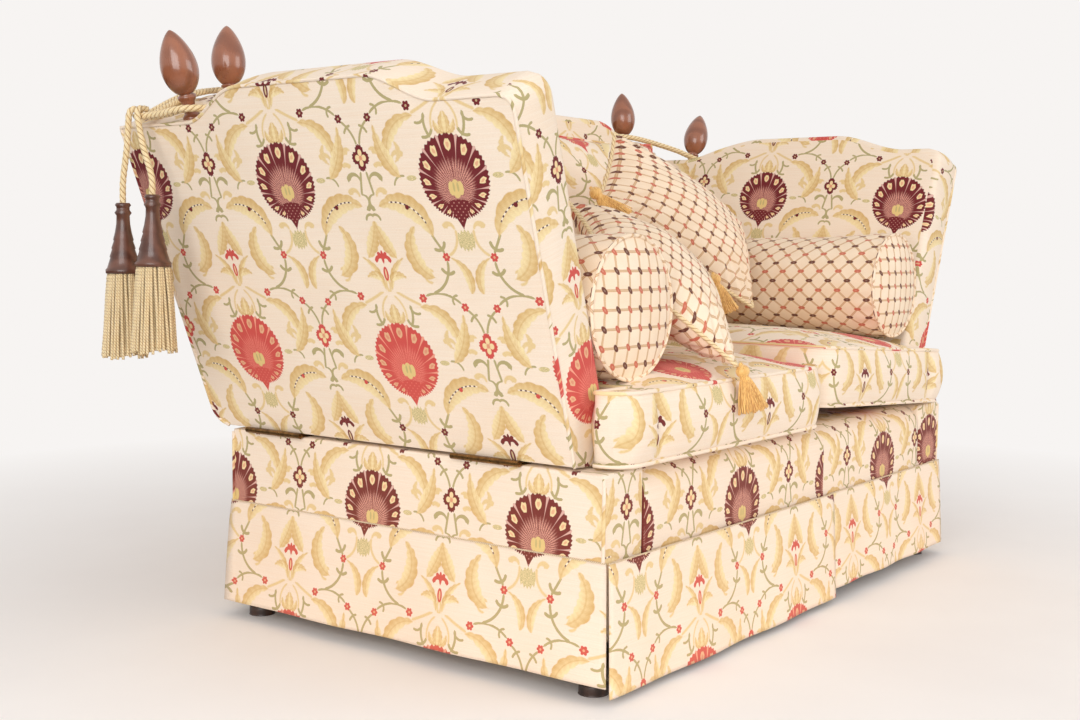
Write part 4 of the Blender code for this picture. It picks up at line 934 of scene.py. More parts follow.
def arm_local(side, s, q, inset, depth):
    """Along the sofa and up the slope, for shares of the outline that is inset from its edges."""
    floor = depth * math.tan(ARM_LEAN) + inset * (q < 1) * 0.5
    guess = ARM_SLOPE * q
    corner_size = ARM_TOP_CORNER + 0.014 * np.clip(-depth / ARM_THICKNESS, 0, 1)
    for _ in range(4):
        corner = np.clip(1 - guess / ARM_REAR_CORNER, 0, 1)
        rear = ARM_REAR + ARM_REAR_RAKE * guess / ARM_SLOPE - ARM_REAR_CORNER * (1 - np.sqrt(1 - corner**2))
        front = ARM_FRONT - ARM_FRONT_RAKE * guess / ARM_SLOPE
        high = arm_top(side, front + corner_size, depth) - inset
        above = np.clip(1 - (high - guess) / corner_size, 0, 1)
        front = front + corner_size * (1 - np.sqrt(1 - above**2))
        y = front + inset + s * (rear - front - 2 * inset)
        guess = floor + q * (arm_top(side, y, depth) - inset - floor)
    return y, guess


def arm_place(side):
    sign = SIDES[side]
    lean_sin, lean_cos = math.sin(ARM_LEAN), math.cos(ARM_LEAN)

    def place(s, q, inset, depth, face):
        """Edge + up the lean + outwards, with each face swelling as the product of two flat-topped bows."""
        y, slope = arm_local(side, s, q, inset, depth)
        if face != "edge":
            pull = 0.0010 * np.sin(17 * y + 9 * slope) + 0.0008 * np.sin(31 * slope - 12 * y + sign)
            depth = depth + (1 if face == "outer" else -1) * bow(s, q, 5, 5) * (FACE_SWELL + pull)
        x = sign * (BASE_HALF_WIDTH + lean_sin * slope + lean_cos * depth)
        return joined(x, y, ARM_BOTTOM + lean_cos * slope - lean_sin * depth)

    return place


def arm_cloth(side):
    flip, far_move = (-1, FAR_BAND_MOVE) if side == "right" else (1, 0.0)

    def cloth(edge, s, q, inset, depth):
        y, slope = arm_local(side, s, q, inset, depth)
        if edge == "front":
            return joined(BAND_CLOTH[0] + far_move - depth * flip, slope + BAND_CLOTH[1])
        shift = INNER_CLOTH if edge == "inner" else OUTER_CLOTH
        slope = slope + (INNER_SLANT * y if edge == "inner" else 0)
        over = -depth if edge == "top" else 0 * depth
        past = -depth if edge == "rear" else 0 * depth
        return joined(y + past + shift[0], slope + over + shift[1])

    return cloth


for side in SIDES:
    place, cloth = arm_place(side), arm_cloth(side)
    patches = slab_patches(place, cloth, 60, 76, edge_profile(ARM_THICKNESS, *PANEL_EDGE))
    patches += seam_round(place, cloth, 120, (1, 0, 0))
    padded_piece(f"{side}_arm_cover", patches, DAMASK, f"{side}_arm", "damask", f"{side}_arm_panel")
print("arm covers made")

# %% [markdown]
# ## The back panel
# The back is a raked board between the arms. Its top is level in the middle and falls in an ogee
# to a small seat for each finial. Its sides lean with the arms, a few millimetres clear of them.

# %% Back panel
BACK_RAKE = math.radians(4.17)
BACK_THICKNESS = 0.110
BACK_HEIGHT = 0.700
BACK_BOTTOM = 0.375
BACK_REAR = 0.4865
BACK_SIDE_GAP = 0.0065
BACK_FLAT_HALF = 0.530
BACK_CLOTH = -0.57
BACK_SEAT_IN, BACK_SEAT_OUT = 0.685, 0.729
BACK_FINIAL_DROP, BACK_CORNER_DROP = 0.045, 0.068


def inner_face(height):
    """How far out the arm's inner face stands at a height."""
    return BASE_HALF_WIDTH + (height - ARM_BOTTOM) * math.tan(ARM_LEAN) - ARM_THICKNESS / math.cos(ARM_LEAN)


def back_top(x):
    """Slope height of the back's top edge: level, an eased fall to the finial's seat, then the corner."""
    fall = BACK_FINIAL_DROP * ease(BACK_FLAT_HALF, BACK_SEAT_IN, np.abs(x))
    end = (BACK_CORNER_DROP - BACK_FINIAL_DROP) * ease(BACK_SEAT_OUT, 0.790, np.abs(x))
    return BACK_HEIGHT - fall - end


def back_local(s, q, inset):
    slope = BACK_HEIGHT * q
    for _ in range(4):
        half = inner_face(BACK_BOTTOM + slope * math.cos(BACK_RAKE)) - BACK_SIDE_GAP - inset
        x = (2 * s - 1) * half
        slope = inset * 0.5 + q * (back_top(x) - inset * 1.5)
    return x, slope


def back_place(s, q, inset, depth, face):
    x, slope = back_local(s, q, inset)
    if face != "edge":
        pull = 0.0012 * np.sin(13 * x + 7 * slope) + 0.0008 * np.sin(29 * slope - 11 * x)
        depth = depth + (1 if face == "outer" else -1) * bow(s, q, 6, 5) * (FACE_SWELL + pull)
    rear = BACK_REAR + slope * math.sin(BACK_RAKE)
    y = rear + depth * math.cos(BACK_RAKE)
    return joined(x, y, BACK_BOTTOM + slope * math.cos(BACK_RAKE) - depth * math.sin(BACK_RAKE))


def back_cloth(edge, s, q, inset, depth):
    x, slope = back_local(s, q, inset)
    over = -depth if edge in ("top", "front", "rear") else 0 * depth
    aside = over * np.sign(x) if edge in ("front", "rear") else 0 * depth
    return joined(x + aside, slope + (over if edge == "top" else 0) + BACK_CLOTH)


patches = slab_patches(back_place, back_cloth, 60, 121, edge_profile(BACK_THICKNESS, *PANEL_EDGE))
patches += seam_round(back_place, back_cloth, 160, (0, 1, 0))
padded_piece("back_cover", patches, DAMASK, "root", "damask", "back_panel")
print("back cover made")

# %% [markdown]
# ## The base
# Each arm base is a narrow upholstered box: its long side carries the hinges and its front end
# is the stump. A roll of padding over the front rail makes the border between the two stumps.

# %% Arm bases
STUMP_THICKNESS = 0.1207
BASE_LOW, BASE_HIGH = 0.1002, 0.3747
SIDE_CLOTH = (-0.065, -0.301)
STUMP_CLOTH = (0.472, -0.315)
BASE_SWELL = 0.002


def base_place(sign):
    def place(s, q, inset, depth, face):
        """A level box: y along it, z up it and depth in from its outer side."""
        y = (2 * s - 1) * (BASE_HALF_DEPTH - inset)
        z = BASE_LOW + inset * 0.5 + q * (BASE_HIGH - BASE_LOW - 1.5 * inset)
        if face == "outer":
            depth = depth + bow(s, q, 8, 6) * BASE_SWELL
        return joined(sign * (BASE_HALF_WIDTH + depth), y, z)

    return place


def base_cloth(sign):
    def cloth(edge, s, q, inset, depth):
        y = (2 * s - 1) * (BASE_HALF_DEPTH - inset)
        z = BASE_LOW + q * (BASE_HIGH - BASE_LOW)
        if edge in ("front", "rear"):
            return joined(sign * (BASE_HALF_WIDTH + depth) + STUMP_CLOTH[0], z + STUMP_CLOTH[1])
        over = -depth if edge == "top" else 0 * depth
        return joined(y + SIDE_CLOTH[0], z + over + SIDE_CLOTH[1])

    return cloth


for side, sign in SIDES.items():
    place, cloth = base_place(sign), base_cloth(sign)
    patches = slab_patches(place, cloth, 24, 80, edge_profile(STUMP_THICKNESS, 0.004, 0.012, 0.0012))
    for end in (0, 1):
        run = np.linspace(0.45, 0.985, 60)
        edge_s = np.full_like(run, end)
        seam = place(edge_s, run, 0 * run + SEAM_INSET, 0 * run, "edge")
        patches += piping_patches(seam, cloth("outer", edge_s, run, 0 * run, 0 * run), reference=(1, 0, 0))
    padded_piece(f"{side}_arm_base_cover", patches, DAMASK, "root", "damask", f"{side}_arm_base")
print("arm base covers made")

# %% Front and back borders
INNER_HALF = 0.6047
BORDER_LOW, BORDER_TOP, BORDER_INNER_LOW, BORDER_MAP_LEVEL = 0.222, 0.374, 0.3003, 0.301
BORDER_THICKNESS, BACK_BORDER_TOP = 0.006, 0.3747
ROLL_DEPTH, ROLL_RADIUS = 0.0862, 0.050
BORDER_JOIN = 0.090
BORDER_CLOTHS = {"left": (-INNER_HALF, BORDER_JOIN, -0.120), "right": (BORDER_JOIN, INNER_HALF, -0.397)}
front, inside = -BASE_HALF_DEPTH, BORDER_THICKNESS - BASE_HALF_DEPTH
quarter = np.radians(np.linspace(0, 90, 9))
roll = [
    (front + ROLL_RADIUS * (1 - math.cos(a)), BORDER_TOP - ROLL_RADIUS * (1 - math.sin(a))) for a in quarter
]
section = np.array([
    (inside, BORDER_INNER_LOW), (inside, BORDER_LOW), (front, BORDER_LOW + 0.002),
    *[(front, z) for z in np.linspace(0.23, 0.318, 8)], *roll, (front + ROLL_DEPTH, BORDER_TOP),
    (front + ROLL_DEPTH, BORDER_INNER_LOW), (inside, BORDER_INNER_LOW),
])
section, section_run = even_path(section, 0.006)
outside = slice(0, len(section) // 2)
level = section_run - np.interp(BORDER_MAP_LEVEL, section[outside, 1], section_run[outside])
patches = []
for low, high, offset in BORDER_CLOTHS.values():
    x = np.linspace(low, high, 40)
    grid = joined(x, section[:, :1], section[:, 1:])
    sag = np.sin(9 * x)[None] * 0.0015 * (grid[..., 2] > 0.24) * (grid[..., 1] < front + 0.06)
    grid[..., 1] += np.abs(sag)
    patches.append((grid, joined(x + offset, level[:, None])))
for end, rim in ((-INNER_HALF, patches[0][0][:, 0]), (INNER_HALF, patches[1][0][:, -1])):
    middle = np.broadcast_to(np.array([end, front + 0.05, 0.335]), rim.shape)
    patches.append((np.stack([rim, middle]), np.zeros(2)))
padded_piece("front_border_cover", patches, DAMASK, "root", "damask", "front_border")


def back_border_place(s, q, inset, depth, face):
    x = (2 * s - 1) * (INNER_HALF - inset)
    z = BORDER_LOW + inset + q * (BACK_BORDER_TOP - BORDER_LOW - 2 * inset)
    return joined(x, BASE_HALF_DEPTH + depth, z)


def back_border_cloth(edge, s, q, inset, depth):
    return joined((2 * s - 1) * INNER_HALF, q * 0.152 - 0.08)


back_profile = edge_profile(BORDER_THICKNESS, 0.002, 0.002, 0.0)
patches = slab_patches(back_border_place, back_border_cloth, 8, 60, back_profile)
padded_piece("back_border_cover", patches, DAMASK, "root", "damask", "back_border")
print("borders made")

# %% [markdown]
# ## The valance
# A valance is a hanging cloth with a box pleat at each corner: every side is a panel of its own
# and a short return is tucked behind the next panel. Each stands out a little further towards
# its hem and moves in slow waves. The sheet is a grid, and Solidify gives it a cloth's thickness.

# %% Valances
VALANCE_TOP, VALANCE_HEM, VALANCE_FRONT_HEM = 0.231, 0.030, 0.013
VALANCE_THICKNESS, VALANCE_FLARE, VALANCE_WAVE = 0.003, 0.012, 0.006
VALANCE_RETURN, VALANCE_SPLIT, SPLIT_HALF = 0.066, 0.110, 0.005
VALANCE_ROWS, VALANCE_STEP = 30, 0.012
SEAM_RADIUS = 0.0016
SPREAD, SPREAD_REACH = 0.88, 0.03


def valance_patch(corners, gap, hem, map_place, wave, phase, spread):
    """A panel along plan corners: out = gap + flare x down^0.7 + waves that grow towards the hem.

    An open end also slides along the panel, by its share of flare x down^0.7 x e^-(run / reach)^2.
    """
    corners = np.array(corners, float)
    lengths = np.linalg.norm(np.diff(corners, axis=0), axis=1)
    longest = np.argmax(lengths)
    knots = np.concatenate([[0], np.cumsum(lengths)])
    run = np.unique(np.concatenate([
        np.linspace(a, b, max(2, int((b - a) / VALANCE_STEP)) + 1) for a, b in zip(knots, knots[1:])
    ]))
    plan = np.stack([np.interp(run, knots, corners[:, axis]) for axis in range(2)], axis=1)
    ways = np.diff(corners, axis=0) / lengths[:, None]
    outs = np.stack([ways[:, 1], -ways[:, 0]], axis=1)
    piece = np.clip(np.searchsorted(knots, run, side="right") - 1, 0, len(outs) - 1)
    out = outs[piece]
    corner = np.isin(np.round(run, 6), np.round(knots[1:-1], 6))
    out[corner] = out[corner] + outs[piece[corner] - 1]
    along = (run - knots[longest]) / lengths.max()
    waves = 0.5 + 0.5 * np.sin(math.tau * wave * along + phase)
    waves = np.where(piece == longest, np.sin(math.pi * np.clip(along, 0, 1)) ** 0.5 * waves, 0)
    down = np.linspace(1, 0, VALANCE_ROWS)[:, None]
    flare = VALANCE_FLARE * down**0.7
    stand_off = gap + VALANCE_THICKNESS / 2 + flare + VALANCE_WAVE * waves[None] * down**1.2
    ends = np.exp(-(((run[-1] - run) / SPREAD_REACH) ** 2)), np.exp(-((run / SPREAD_REACH) ** 2))
    slide = (spread[1] * ends[0] - spread[0] * ends[1])[None] * flare
    height = VALANCE_TOP + (hem - VALANCE_TOP) * down
    grid = np.empty((VALANCE_ROWS, len(run), 3))
    grid[..., :2] = plan[None] + out[None] * stand_off[..., None] + ways[piece][None] * slide[..., None]
    grid[..., 2] = height
    return grid, joined(run[None] + map_place[0] - knots[longest], height + map_place[1]), run[-1]


def new_valance(name, behind, corners, gap, hem, map_place, wave, phase, spread=(0, 0)):
    """Makes a panel and gives back the patches of its stitched seam. What it hangs against, behind, is not
    used.
    """
    grid, cloth, width = valance_patch(corners, gap, hem, map_place, wave, phase, spread)
    made = new_shell(f"{name}_valance_cloth", [(grid, cloth)], DAMASK)
    solid = made.modifiers.new("Cloth thickness", "SOLIDIFY")
    solid.thickness = VALANCE_THICKNESS * 0.8
    solid.offset = 0
    dress(made, "root", "damask", f"{name}_valance")
    flat = (width, VALANCE_TOP - hem + 0.002)
    line, run = even_path(grid[-1] + np.array([0, 0, SEAM_RADIUS / 2]), 0.008)
    return tube_patches(line, run, SEAM_RADIUS, 8)


W, D, R = BASE_HALF_WIDTH, BASE_HALF_DEPTH, BASE_HALF_WIDTH - VALANCE_RETURN
LAP, CORNER_LAP = VALANCE_THICKNESS + 0.0009, 0.006
LOW_GAP = 0.0003
SPLIT_LEFT, SPLIT_RIGHT = VALANCE_SPLIT + SPLIT_HALF, VALANCE_SPLIT - SPLIT_HALF
VALANCES = {
    "right_side": (
        "right_arm_base", [(R, -D), (W, -D), (W, D), (R, D)], LOW_GAP, VALANCE_HEM, (-D - 0.082, -0.328),
        3, 0.4,
    ),
    "left_side": (
        "left_arm_base", [(-R, D), (-W, D), (-W, -D - CORNER_LAP)], LOW_GAP, VALANCE_HEM, (0.082 - D, -0.328),
        3, 2.0, (0, SPREAD),
    ),
    "back": ("back_border", [(W, D), (-W, D)], LOW_GAP + LAP, VALANCE_HEM, (0.1, -0.328), 5, 1.0),
    "right_front": (
        "front_border", [(SPLIT_RIGHT, -D), (W, -D)], LOW_GAP + LAP, VALANCE_HEM,
        (VALANCE_SPLIT - 0.405, -0.325), 3, 0.0,
    ),
    "left_front": (
        "front_border", [(-W, -D), (SPLIT_LEFT, -D)], 0.0011 + 2 * LAP, VALANCE_FRONT_HEM, (0.26 - W, -0.325),
        3, 1.2, (SPREAD, 0),
    ),
}
seams = []
for name, facts in VALANCES.items():
    seams += new_valance(name, *facts)
dress(new_shell("valance_seam_stitched", seams, SEAM), "root", "damask")
print("valances made")

# %% [markdown]
# ## Seat cushions
# A seat cushion is boxed: a top, a bottom and a band between them, with piping in both seams.
# In front of the arms it has an ear. The top rises in a crown, and the band bellies out.

# %% Seat cushions
SEAT_HALF, SEAT_EAR, SEAT_FRONT, SEAT_EAR_BACK, SEAT_BACK = 0.606, 0.700, -0.465, -0.4075, 0.372
SEAT_JOIN, SEAT_LOW_WELT, SEAT_TOP_WELT, SEAT_CROWN = 0.041, 0.385, 0.505, 0.040
SEAT_LOW_CROWNS = {"left": 0.010, "right": 0.022}
SEAT_TILTS = {"left": 0.0, "right": math.radians(3.6)}
SEAT_BELLY, WELT_RADIUS = 0.015, 0.0040
SEAT_CLOTHS = {"left": (0.603, -0.946), "right": (-0.210, -0.946)}


def seat_flat(x, y, height, rise, start, end):
    """A crowned face: rise x (1 - u^4)(1 - v^4) over the main part, level on the ear."""
    u = 2 * (x - start) / (end - start) - 1
    v = 2 * (y - SEAT_FRONT) / (SEAT_BACK - SEAT_FRONT) - 1
    crown = np.clip(1 - np.abs(u) ** 4, 0, 1) * np.clip(1 - np.abs(v) ** 4, 0, 1)
    ripple = 0.0016 * np.sin(14 * x + 5 * y) * np.sin(11 * y - 4 * x)
    return joined(x, y, height + rise * crown + np.sign(rise) * ripple * crown)


def seat_corner(points, sign):
    """Rounds the plan's two front corners by drawing points towards the middle near them."""
    points = points.copy()
    for corner_x, reach in ((SEAT_JOIN, 0.045), (sign * SEAT_EAR, 0.045)):
        near = np.clip(1 - np.hypot(points[..., 0] - corner_x, points[..., 1] - SEAT_FRONT) / reach, 0, 1)
        pull = reach * 0.30 * near**1.5
        points[..., 1] += pull
        points[..., 0] += pull * (-1 if corner_x * sign > SEAT_JOIN * sign + 0.1 else 1) * sign
    return points


def make_seat(side):
    """Crowned faces, seven bellied walls and two welts, rounded in plan, tilted and set to its height."""
    sign = SIDES[side]
    start, end, ear = SEAT_JOIN + sign * 0.0015, sign * SEAT_HALF, sign * SEAT_EAR
    xs, ear_xs = np.linspace(start, end, 45), np.linspace(end, ear, 9)
    ear_ys = np.linspace(SEAT_FRONT, SEAT_EAR_BACK, 7)
    ys = np.concatenate([ear_ys, np.linspace(SEAT_EAR_BACK, SEAT_BACK, 50)[1:]])
    offset = SEAT_CLOTHS[side]
    patches = []
    for height, rise in ((SEAT_TOP_WELT, SEAT_CROWN), (SEAT_LOW_WELT, -SEAT_LOW_CROWNS[side])):
        for across, along in ((xs, ys), (ear_xs, ear_ys)):
            x, y = np.meshgrid(across, along)
            grid = seat_flat(x, y, height, rise, start, end)
            v = (y - SEAT_FRONT) + SEAT_TOP_WELT + offset[1] if rise > 0 else y
            patches.append((grid, joined(x + offset[0], v)))
    walls = (
        (start, ys[::-1], (-sign, 0)), (xs, SEAT_FRONT, (0, -1)), (ear_xs, SEAT_FRONT, (0, -1)),
        (ear, ear_ys, (sign, 0)), (ear_xs[::-1], SEAT_EAR_BACK, (0, 1)), (end, ys[6:], (sign, 0)),
        (xs[::-1], SEAT_BACK, (0, 1)),
    )
    down = np.linspace(0, 1, 13)[:, None]
    height = SEAT_LOW_WELT + (SEAT_TOP_WELT - SEAT_LOW_WELT) * down
    for x, y, out in walls:
        x, y = np.broadcast_arrays(x, y)
        values = y if out[0] else x
        share = np.abs(values - values[0]) / abs(values[-1] - values[0])
        belly = SEAT_BELLY * np.sin(math.pi * down) ** 0.8 * (1 - np.abs(2 * share - 1) ** 10)[None]
        u = ((y - SEAT_FRONT) * sign + x if out[0] else x) + offset[0]
        wall = joined(x + out[0] * belly, y + out[1] * belly, height)
        patches.append((wall, joined(u, height + offset[1])))
    outline = np.array([
        (start, SEAT_BACK), (start, SEAT_FRONT), (end, SEAT_FRONT), (ear, SEAT_FRONT), (ear, SEAT_EAR_BACK),
        (end, SEAT_EAR_BACK), (end, SEAT_BACK), (start, SEAT_BACK),
    ])
    path, run = even_path(outline, 0.006)
    for height in (SEAT_TOP_WELT, SEAT_LOW_WELT):
        cloth = joined(path[:, 0] + offset[0], height + offset[1])
        patches += tube_patches(joined(path[:, 0], path[:, 1], height), run, WELT_RADIUS, 10, cloth=cloth)
    tilt = SEAT_TILTS[side]
    middle = np.array([start + end, SEAT_FRONT + SEAT_BACK, SEAT_LOW_WELT + SEAT_TOP_WELT]) / 2
    turn = np.array(Matrix.Rotation(tilt, 3, "Y"))
    patches = [((seat_corner(grid, sign) - middle) @ turn.T + middle, cloth) for grid, cloth in patches]
    top = max(grid[..., 2].max() for grid, _ in patches)
    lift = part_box(f"{side}_seat_cushion")[1].z - top if tilt else 0.0
    node = f"{side}_seat_cushion"
    padded_piece(f"{node}_cover", patches, DAMASK, node, "damask", node, SHIFT + np.array([0, 0, lift]))
    print(side, "seat lift", round(lift, 4))


for side in SIDES:
    make_seat(side)

# %% [markdown]
# ## Loose pillows
# A pillow is two squares sewn edge to edge and filled. It is plump in the middle, its sides are
# drawn in between the corners, and creases run from each corner towards the middle.

# %% Pillows
PILLOW_WELT = 0.0036


def pillow_patches(corners, plump, sag, draw, cloth_turn, size, offset=(0.0, 0.0), puckers=1.0, cells=41):
    """Front and back as plump x ((1 - u^2)(1 - v^2))^0.56 off a bilinear sheet, with sides drawn in."""
    corners = np.array(corners, float)
    u, v = np.meshgrid(np.linspace(-1, 1, cells), np.linspace(-1, 1, cells))
    normal = np.cross(corners[2] - corners[0], corners[3] - corners[1])
    normal /= np.linalg.norm(normal)
    up, vp = u * (1 - draw * (1 - v * v)), v * (1 - draw * (1 - u * u))
    a, b = (up + 1)[..., None] / 2, (vp + 1)[..., None] / 2
    sheet = (corners[0] * (1 - a) + corners[1] * a) * (1 - b) + (corners[3] * (1 - a) + corners[2] * a) * b
    rim = np.clip((1 - u * u) * (1 - v * v), 0, 1)
    body = rim**0.56
    radius, angle = np.sqrt(u * u + v * v), np.arctan2(v, u)
    diagonal = np.abs(np.sin(2 * angle)) ** 6 * np.clip(radius, 0, 1.3)
    crease = puckers * 0.006 * np.sin(38 * (np.abs(u) - np.abs(v))) * diagonal * (1 - rim) ** 2 * body**0.3
    edge = puckers * 0.004 * np.sin(24 * angle + 3 * radius) * rim * (1 - rim) ** 3 * 3
    cos, sin = math.cos(cloth_turn), math.sin(cloth_turn)
    cloth = joined(
        (u * cos - v * sin) * size[0] / 2 + offset[0], (u * sin + v * cos) * size[1] / 2 + offset[1]
    )
    fall = np.array([0, 0, sag]) * (body * (1 - vp))[..., None] * 0.5
    made = []
    for way in (1, -1):
        wobble = 0.004 * np.sin(5.1 * u + 2.3 * v + way) * np.sin(4.3 * v - 1.9 * u + 0.5)
        stand_off = plump * body + (crease + edge + wobble * body)
        made.append((sheet + normal * (way * stand_off)[..., None] - fall, cloth))
    return made, sheet, cloth


def rim_line(sheet):
    return np.concatenate([sheet[0, :-1], sheet[:-1, -1], sheet[-1, :0:-1], sheet[::-1, 0]])


def move_into(patches, node):
    """The shift that puts the patches' box on the middle of the node's box, and both boxes' sizes."""
    low, high = (np.array(corner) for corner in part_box(node))
    points = np.concatenate([grid.reshape(-1, 3) for grid, _ in patches])
    least, most = points.min(axis=0), points.max(axis=0)
    print(node, np.round(most - least, 3), "room", np.round(high - low, 3))
    return (low + high) / 2 - (least + most) / 2, most - least, high - low


BACK_CUSHION_LOW, BACK_CUSHION_HEIGHT, BACK_CUSHION_END = 0.550, 0.465, 0.600
BACK_CUSHION_DEPTHS, BACK_CUSHION_PLUMP = (0.262, 0.302), 0.112
BACK_CUSHION_CLOTHS = {"left": (-0.1, 0.05), "right": (0.29, 0.01)}
for side, sign in SIDES.items():
    left, right = sorted((SEAT_JOIN + sign * 0.0033, sign * BACK_CUSHION_END))
    near, back = BACK_CUSHION_DEPTHS
    low, high = BACK_CUSHION_LOW, BACK_CUSHION_LOW + BACK_CUSHION_HEIGHT
    corners = ((left, near, low), (right, near, low), (right, back, high), (left, back, high))
    size = (right - left, BACK_CUSHION_HEIGHT)
    patches, sheet, cloth = pillow_patches(
        corners, BACK_CUSHION_PLUMP, 0.012, 0.035, 0.0, size, BACK_CUSHION_CLOTHS[side]
    )
    patches += piping_patches(rim_line(sheet), rim_line(cloth), PILLOW_WELT, reference=(0, 1, 0))
    node = f"{side}_back_cushion"
    shift, _, _ = move_into(patches, node)
    padded_piece(f"{node}_cover", patches, DAMASK, node, "damask", node, shift)

# %% [markdown]
# ## Scatter cushions
# These carry a twisted cord in the seam instead of piping. The trellis runs upright on them,
# because their squares were cut on the slant.

# %% Scatter cushions
FRONT_PILLOW = (
    (-0.569, -0.016, 0.140), (-0.055, 0.290, 0.512), (-0.610, 0.412, 0.826), (-0.790, 0.230, 0.600)
)
REAR_PILLOW = ((0.495, 0.364, 0.240), (0.770, 0.520, 0.690), (0.060, 0.620, 1.140), (-0.090, 0.612, 0.735))
SCATTER_CUSHIONS = {
    "front_scatter_cushion": (FRONT_PILLOW, 0.080, 0.085), "rear_scatter_cushion": (REAR_PILLOW, 0.092, 0.050)
}
PILLOW_SIDE, PILLOW_CLOTH, PILLOW_SAG, PILLOW_CORD = 0.430, (0.42, 0.42), 0.010, 0.0045
UPRIGHT_BEADS = 0.75 * math.pi


def rope_section(pitch, strands, depth=0.20):
    """Radius share of a twisted cord: 1 on each strand's crest and less by depth in the grooves."""

    def section(turn, run):
        return 1 - depth + depth * np.abs(np.cos(strands / 2 * (turn - math.tau * run / pitch))) ** 0.7

    return section


for name, (shares, plump, draw) in SCATTER_CUSHIONS.items():
    corners = np.array(shares) * np.array([SEAT_HALF, SEAT_BACK - SEAT_FRONT, PILLOW_SIDE])
    corners += np.array([0, SEAT_FRONT, SEAT_TOP_WELT])
    patches, sheet, _ = pillow_patches(
        corners, plump, PILLOW_SAG, draw, UPRIGHT_BEADS, PILLOW_CLOTH, puckers=1.6, cells=61
    )
    shift, _, _ = move_into(patches, name)
    shift = SHIFT if name == "rear_scatter_cushion" else shift
    padded_piece(f"{name}_cover", patches, LATTICE, name, "lattice", name, shift)
    line, run = even_path(rim_line(sheet), 0.0022)
    cord = tube_patches(line, run, PILLOW_CORD, 12, rope_section(0.02, 2, 0.25), reference=(0, 1, 0))
    dress(new_shell(f"{name}_edging", cord, ROPE, shift), name, "rope")

# %% [markdown]
# ## Bolsters
# A bolster is a cylinder of stuffing with a flat disc sewn in at each end and piping in the seam.
# Its body sags a little where it lies, and the cloth gathers in small pleats next to the piping.

# %% Bolsters
BOLSTER_RADIUS, BOLSTER_LENGTH, BOLSTER_CROWN = 0.1275, 0.508, 0.016
FAR_BOLSTER_SHARES = (0.97, 0.89)


def bolster_patches():
    """Rings of radius R(1 - small pleats near the ends), closed by crowned discs, along Y."""
    turn = np.linspace(0, math.tau, 129)
    ring = joined(np.sin(turn), 0, np.cos(turn))
    ring[-1] = ring[0]
    share = np.linspace(-1, 1, 60)[:, None]
    half = BOLSTER_LENGTH / 2
    close = np.clip((np.abs(share) - 0.78) / 0.22, 0, 1)
    pleats = 0.0016 * np.sin(23 * turn + 5 * share) * close * (1 - close) * 4
    waves = 0.0020 * np.sin(3 * turn + 4 * share) * (1 - close)
    radius = BOLSTER_RADIUS - 0.004 * close**3 + pleats + waves
    flat = 1 - 0.02 * np.clip(-np.cos(turn), 0, 1) ** 4
    body = ring[None] * (radius * flat)[..., None]
    body[..., 1] += share * half
    body[:, -1] = body[:, 0]
    made = [(body, joined(share * half, turn[None] * BOLSTER_RADIUS))]
    reach = np.linspace(0, 1, 24)[:, None]
    across, up = np.sin(turn) * BOLSTER_RADIUS * reach, np.cos(turn) * BOLSTER_RADIUS * reach
    for end, rim in ((-1, body[0]), (1, body[-1])):
        disc = ring[None] * (reach * np.linalg.norm(rim[:, [0, 2]], axis=1))[..., None]
        pucker = 0.0012 * np.sin(19 * turn)[None] * reach**6 * (1 - reach) * 8
        disc[..., 1] = end * (half + BOLSTER_CROWN * (1 - reach**3) + pucker)
        disc[-1] = rim
        made.append((disc, joined((across - up) * 0.7071, (across + up) * 0.7071)))
        path, run = even_path(rim * np.array([1.012, 1, 1.012]), 0.006)
        made += tube_patches(path, run, PILLOW_WELT, 10, cloth=joined(run, 0), reference=(0, 1, 0))
    return made


for side in SIDES:
    patches, node = bolster_patches(), f"{side}_bolster"
    if side == "right":
        for grid, _ in patches:
            flatten = np.interp(grid[..., 1], [-BOLSTER_LENGTH / 2, BOLSTER_LENGTH / 2], FAR_BOLSTER_SHARES)
            grid[..., 2] = -BOLSTER_RADIUS + (grid[..., 2] + BOLSTER_RADIUS) * flatten
    shift, size, room = move_into(patches, node)
    shift[2] -= (room[2] - size[2]) / 2
    padded_piece(f"{node}_cover", patches, LATTICE, node, "lattice", node, shift)

# %% [markdown]
# ## Ropes
# A rope is three strands twisted together. Its skin is a tube whose section is three-lobed and
# turns as it goes. The routes are the solids' own, so rope and solid lie in the same place.

# %% Tie ropes and tails
ROPE_DIAMETER, ROPE_PITCH, TIE_TURNS = 0.012, 0.0142, 2
TIE_ROUTE = (
    (0.915, 0.447, 0.9745), (0.868, 0.466, 0.996), (0.8, 0.49, 1.023), (0.748, 0.504, 1.038),
    (0.707, 0.508, 1.047), (0.68, 0.48, 1.05), (0.703, 0.4533, 1.047), (0.748, 0.43, 1.039),
    (0.794, 0.4, 1.026), (0.832, 0.37, 1.012), (0.862, 0.345, 0.9952), (0.888, 0.338, 0.9866),
    (0.911, 0.349, 0.983), (0.914, 0.378, 0.976), (0.914, 0.412, 0.9745),
)
TAIL_ROUTES = {
    "back": (
        (0.9295, 0.4545, 0.9859), (0.9395, 0.4550, 0.9861), (0.9500, 0.4560, 0.9856),
        (0.9562, 0.4575, 0.9772), (0.9576, 0.4590, 0.9580), (0.9576, 0.4640, 0.9150),
        (0.9576, 0.4760, 0.8600), (0.9576, 0.4780, 0.8300), (0.9576, 0.4780, 0.8153),
    ),
    "front": (
        (0.9295, 0.4405, 0.9869), (0.9395, 0.4395, 0.9871), (0.9500, 0.4375, 0.9856),
        (0.9562, 0.4340, 0.9772), (0.9576, 0.4290, 0.9580), (0.9576, 0.4160, 0.9150),
        (0.9576, 0.3950, 0.8660), (0.9576, 0.3920, 0.8440), (0.9576, 0.3920, 0.8293),
    ),
}


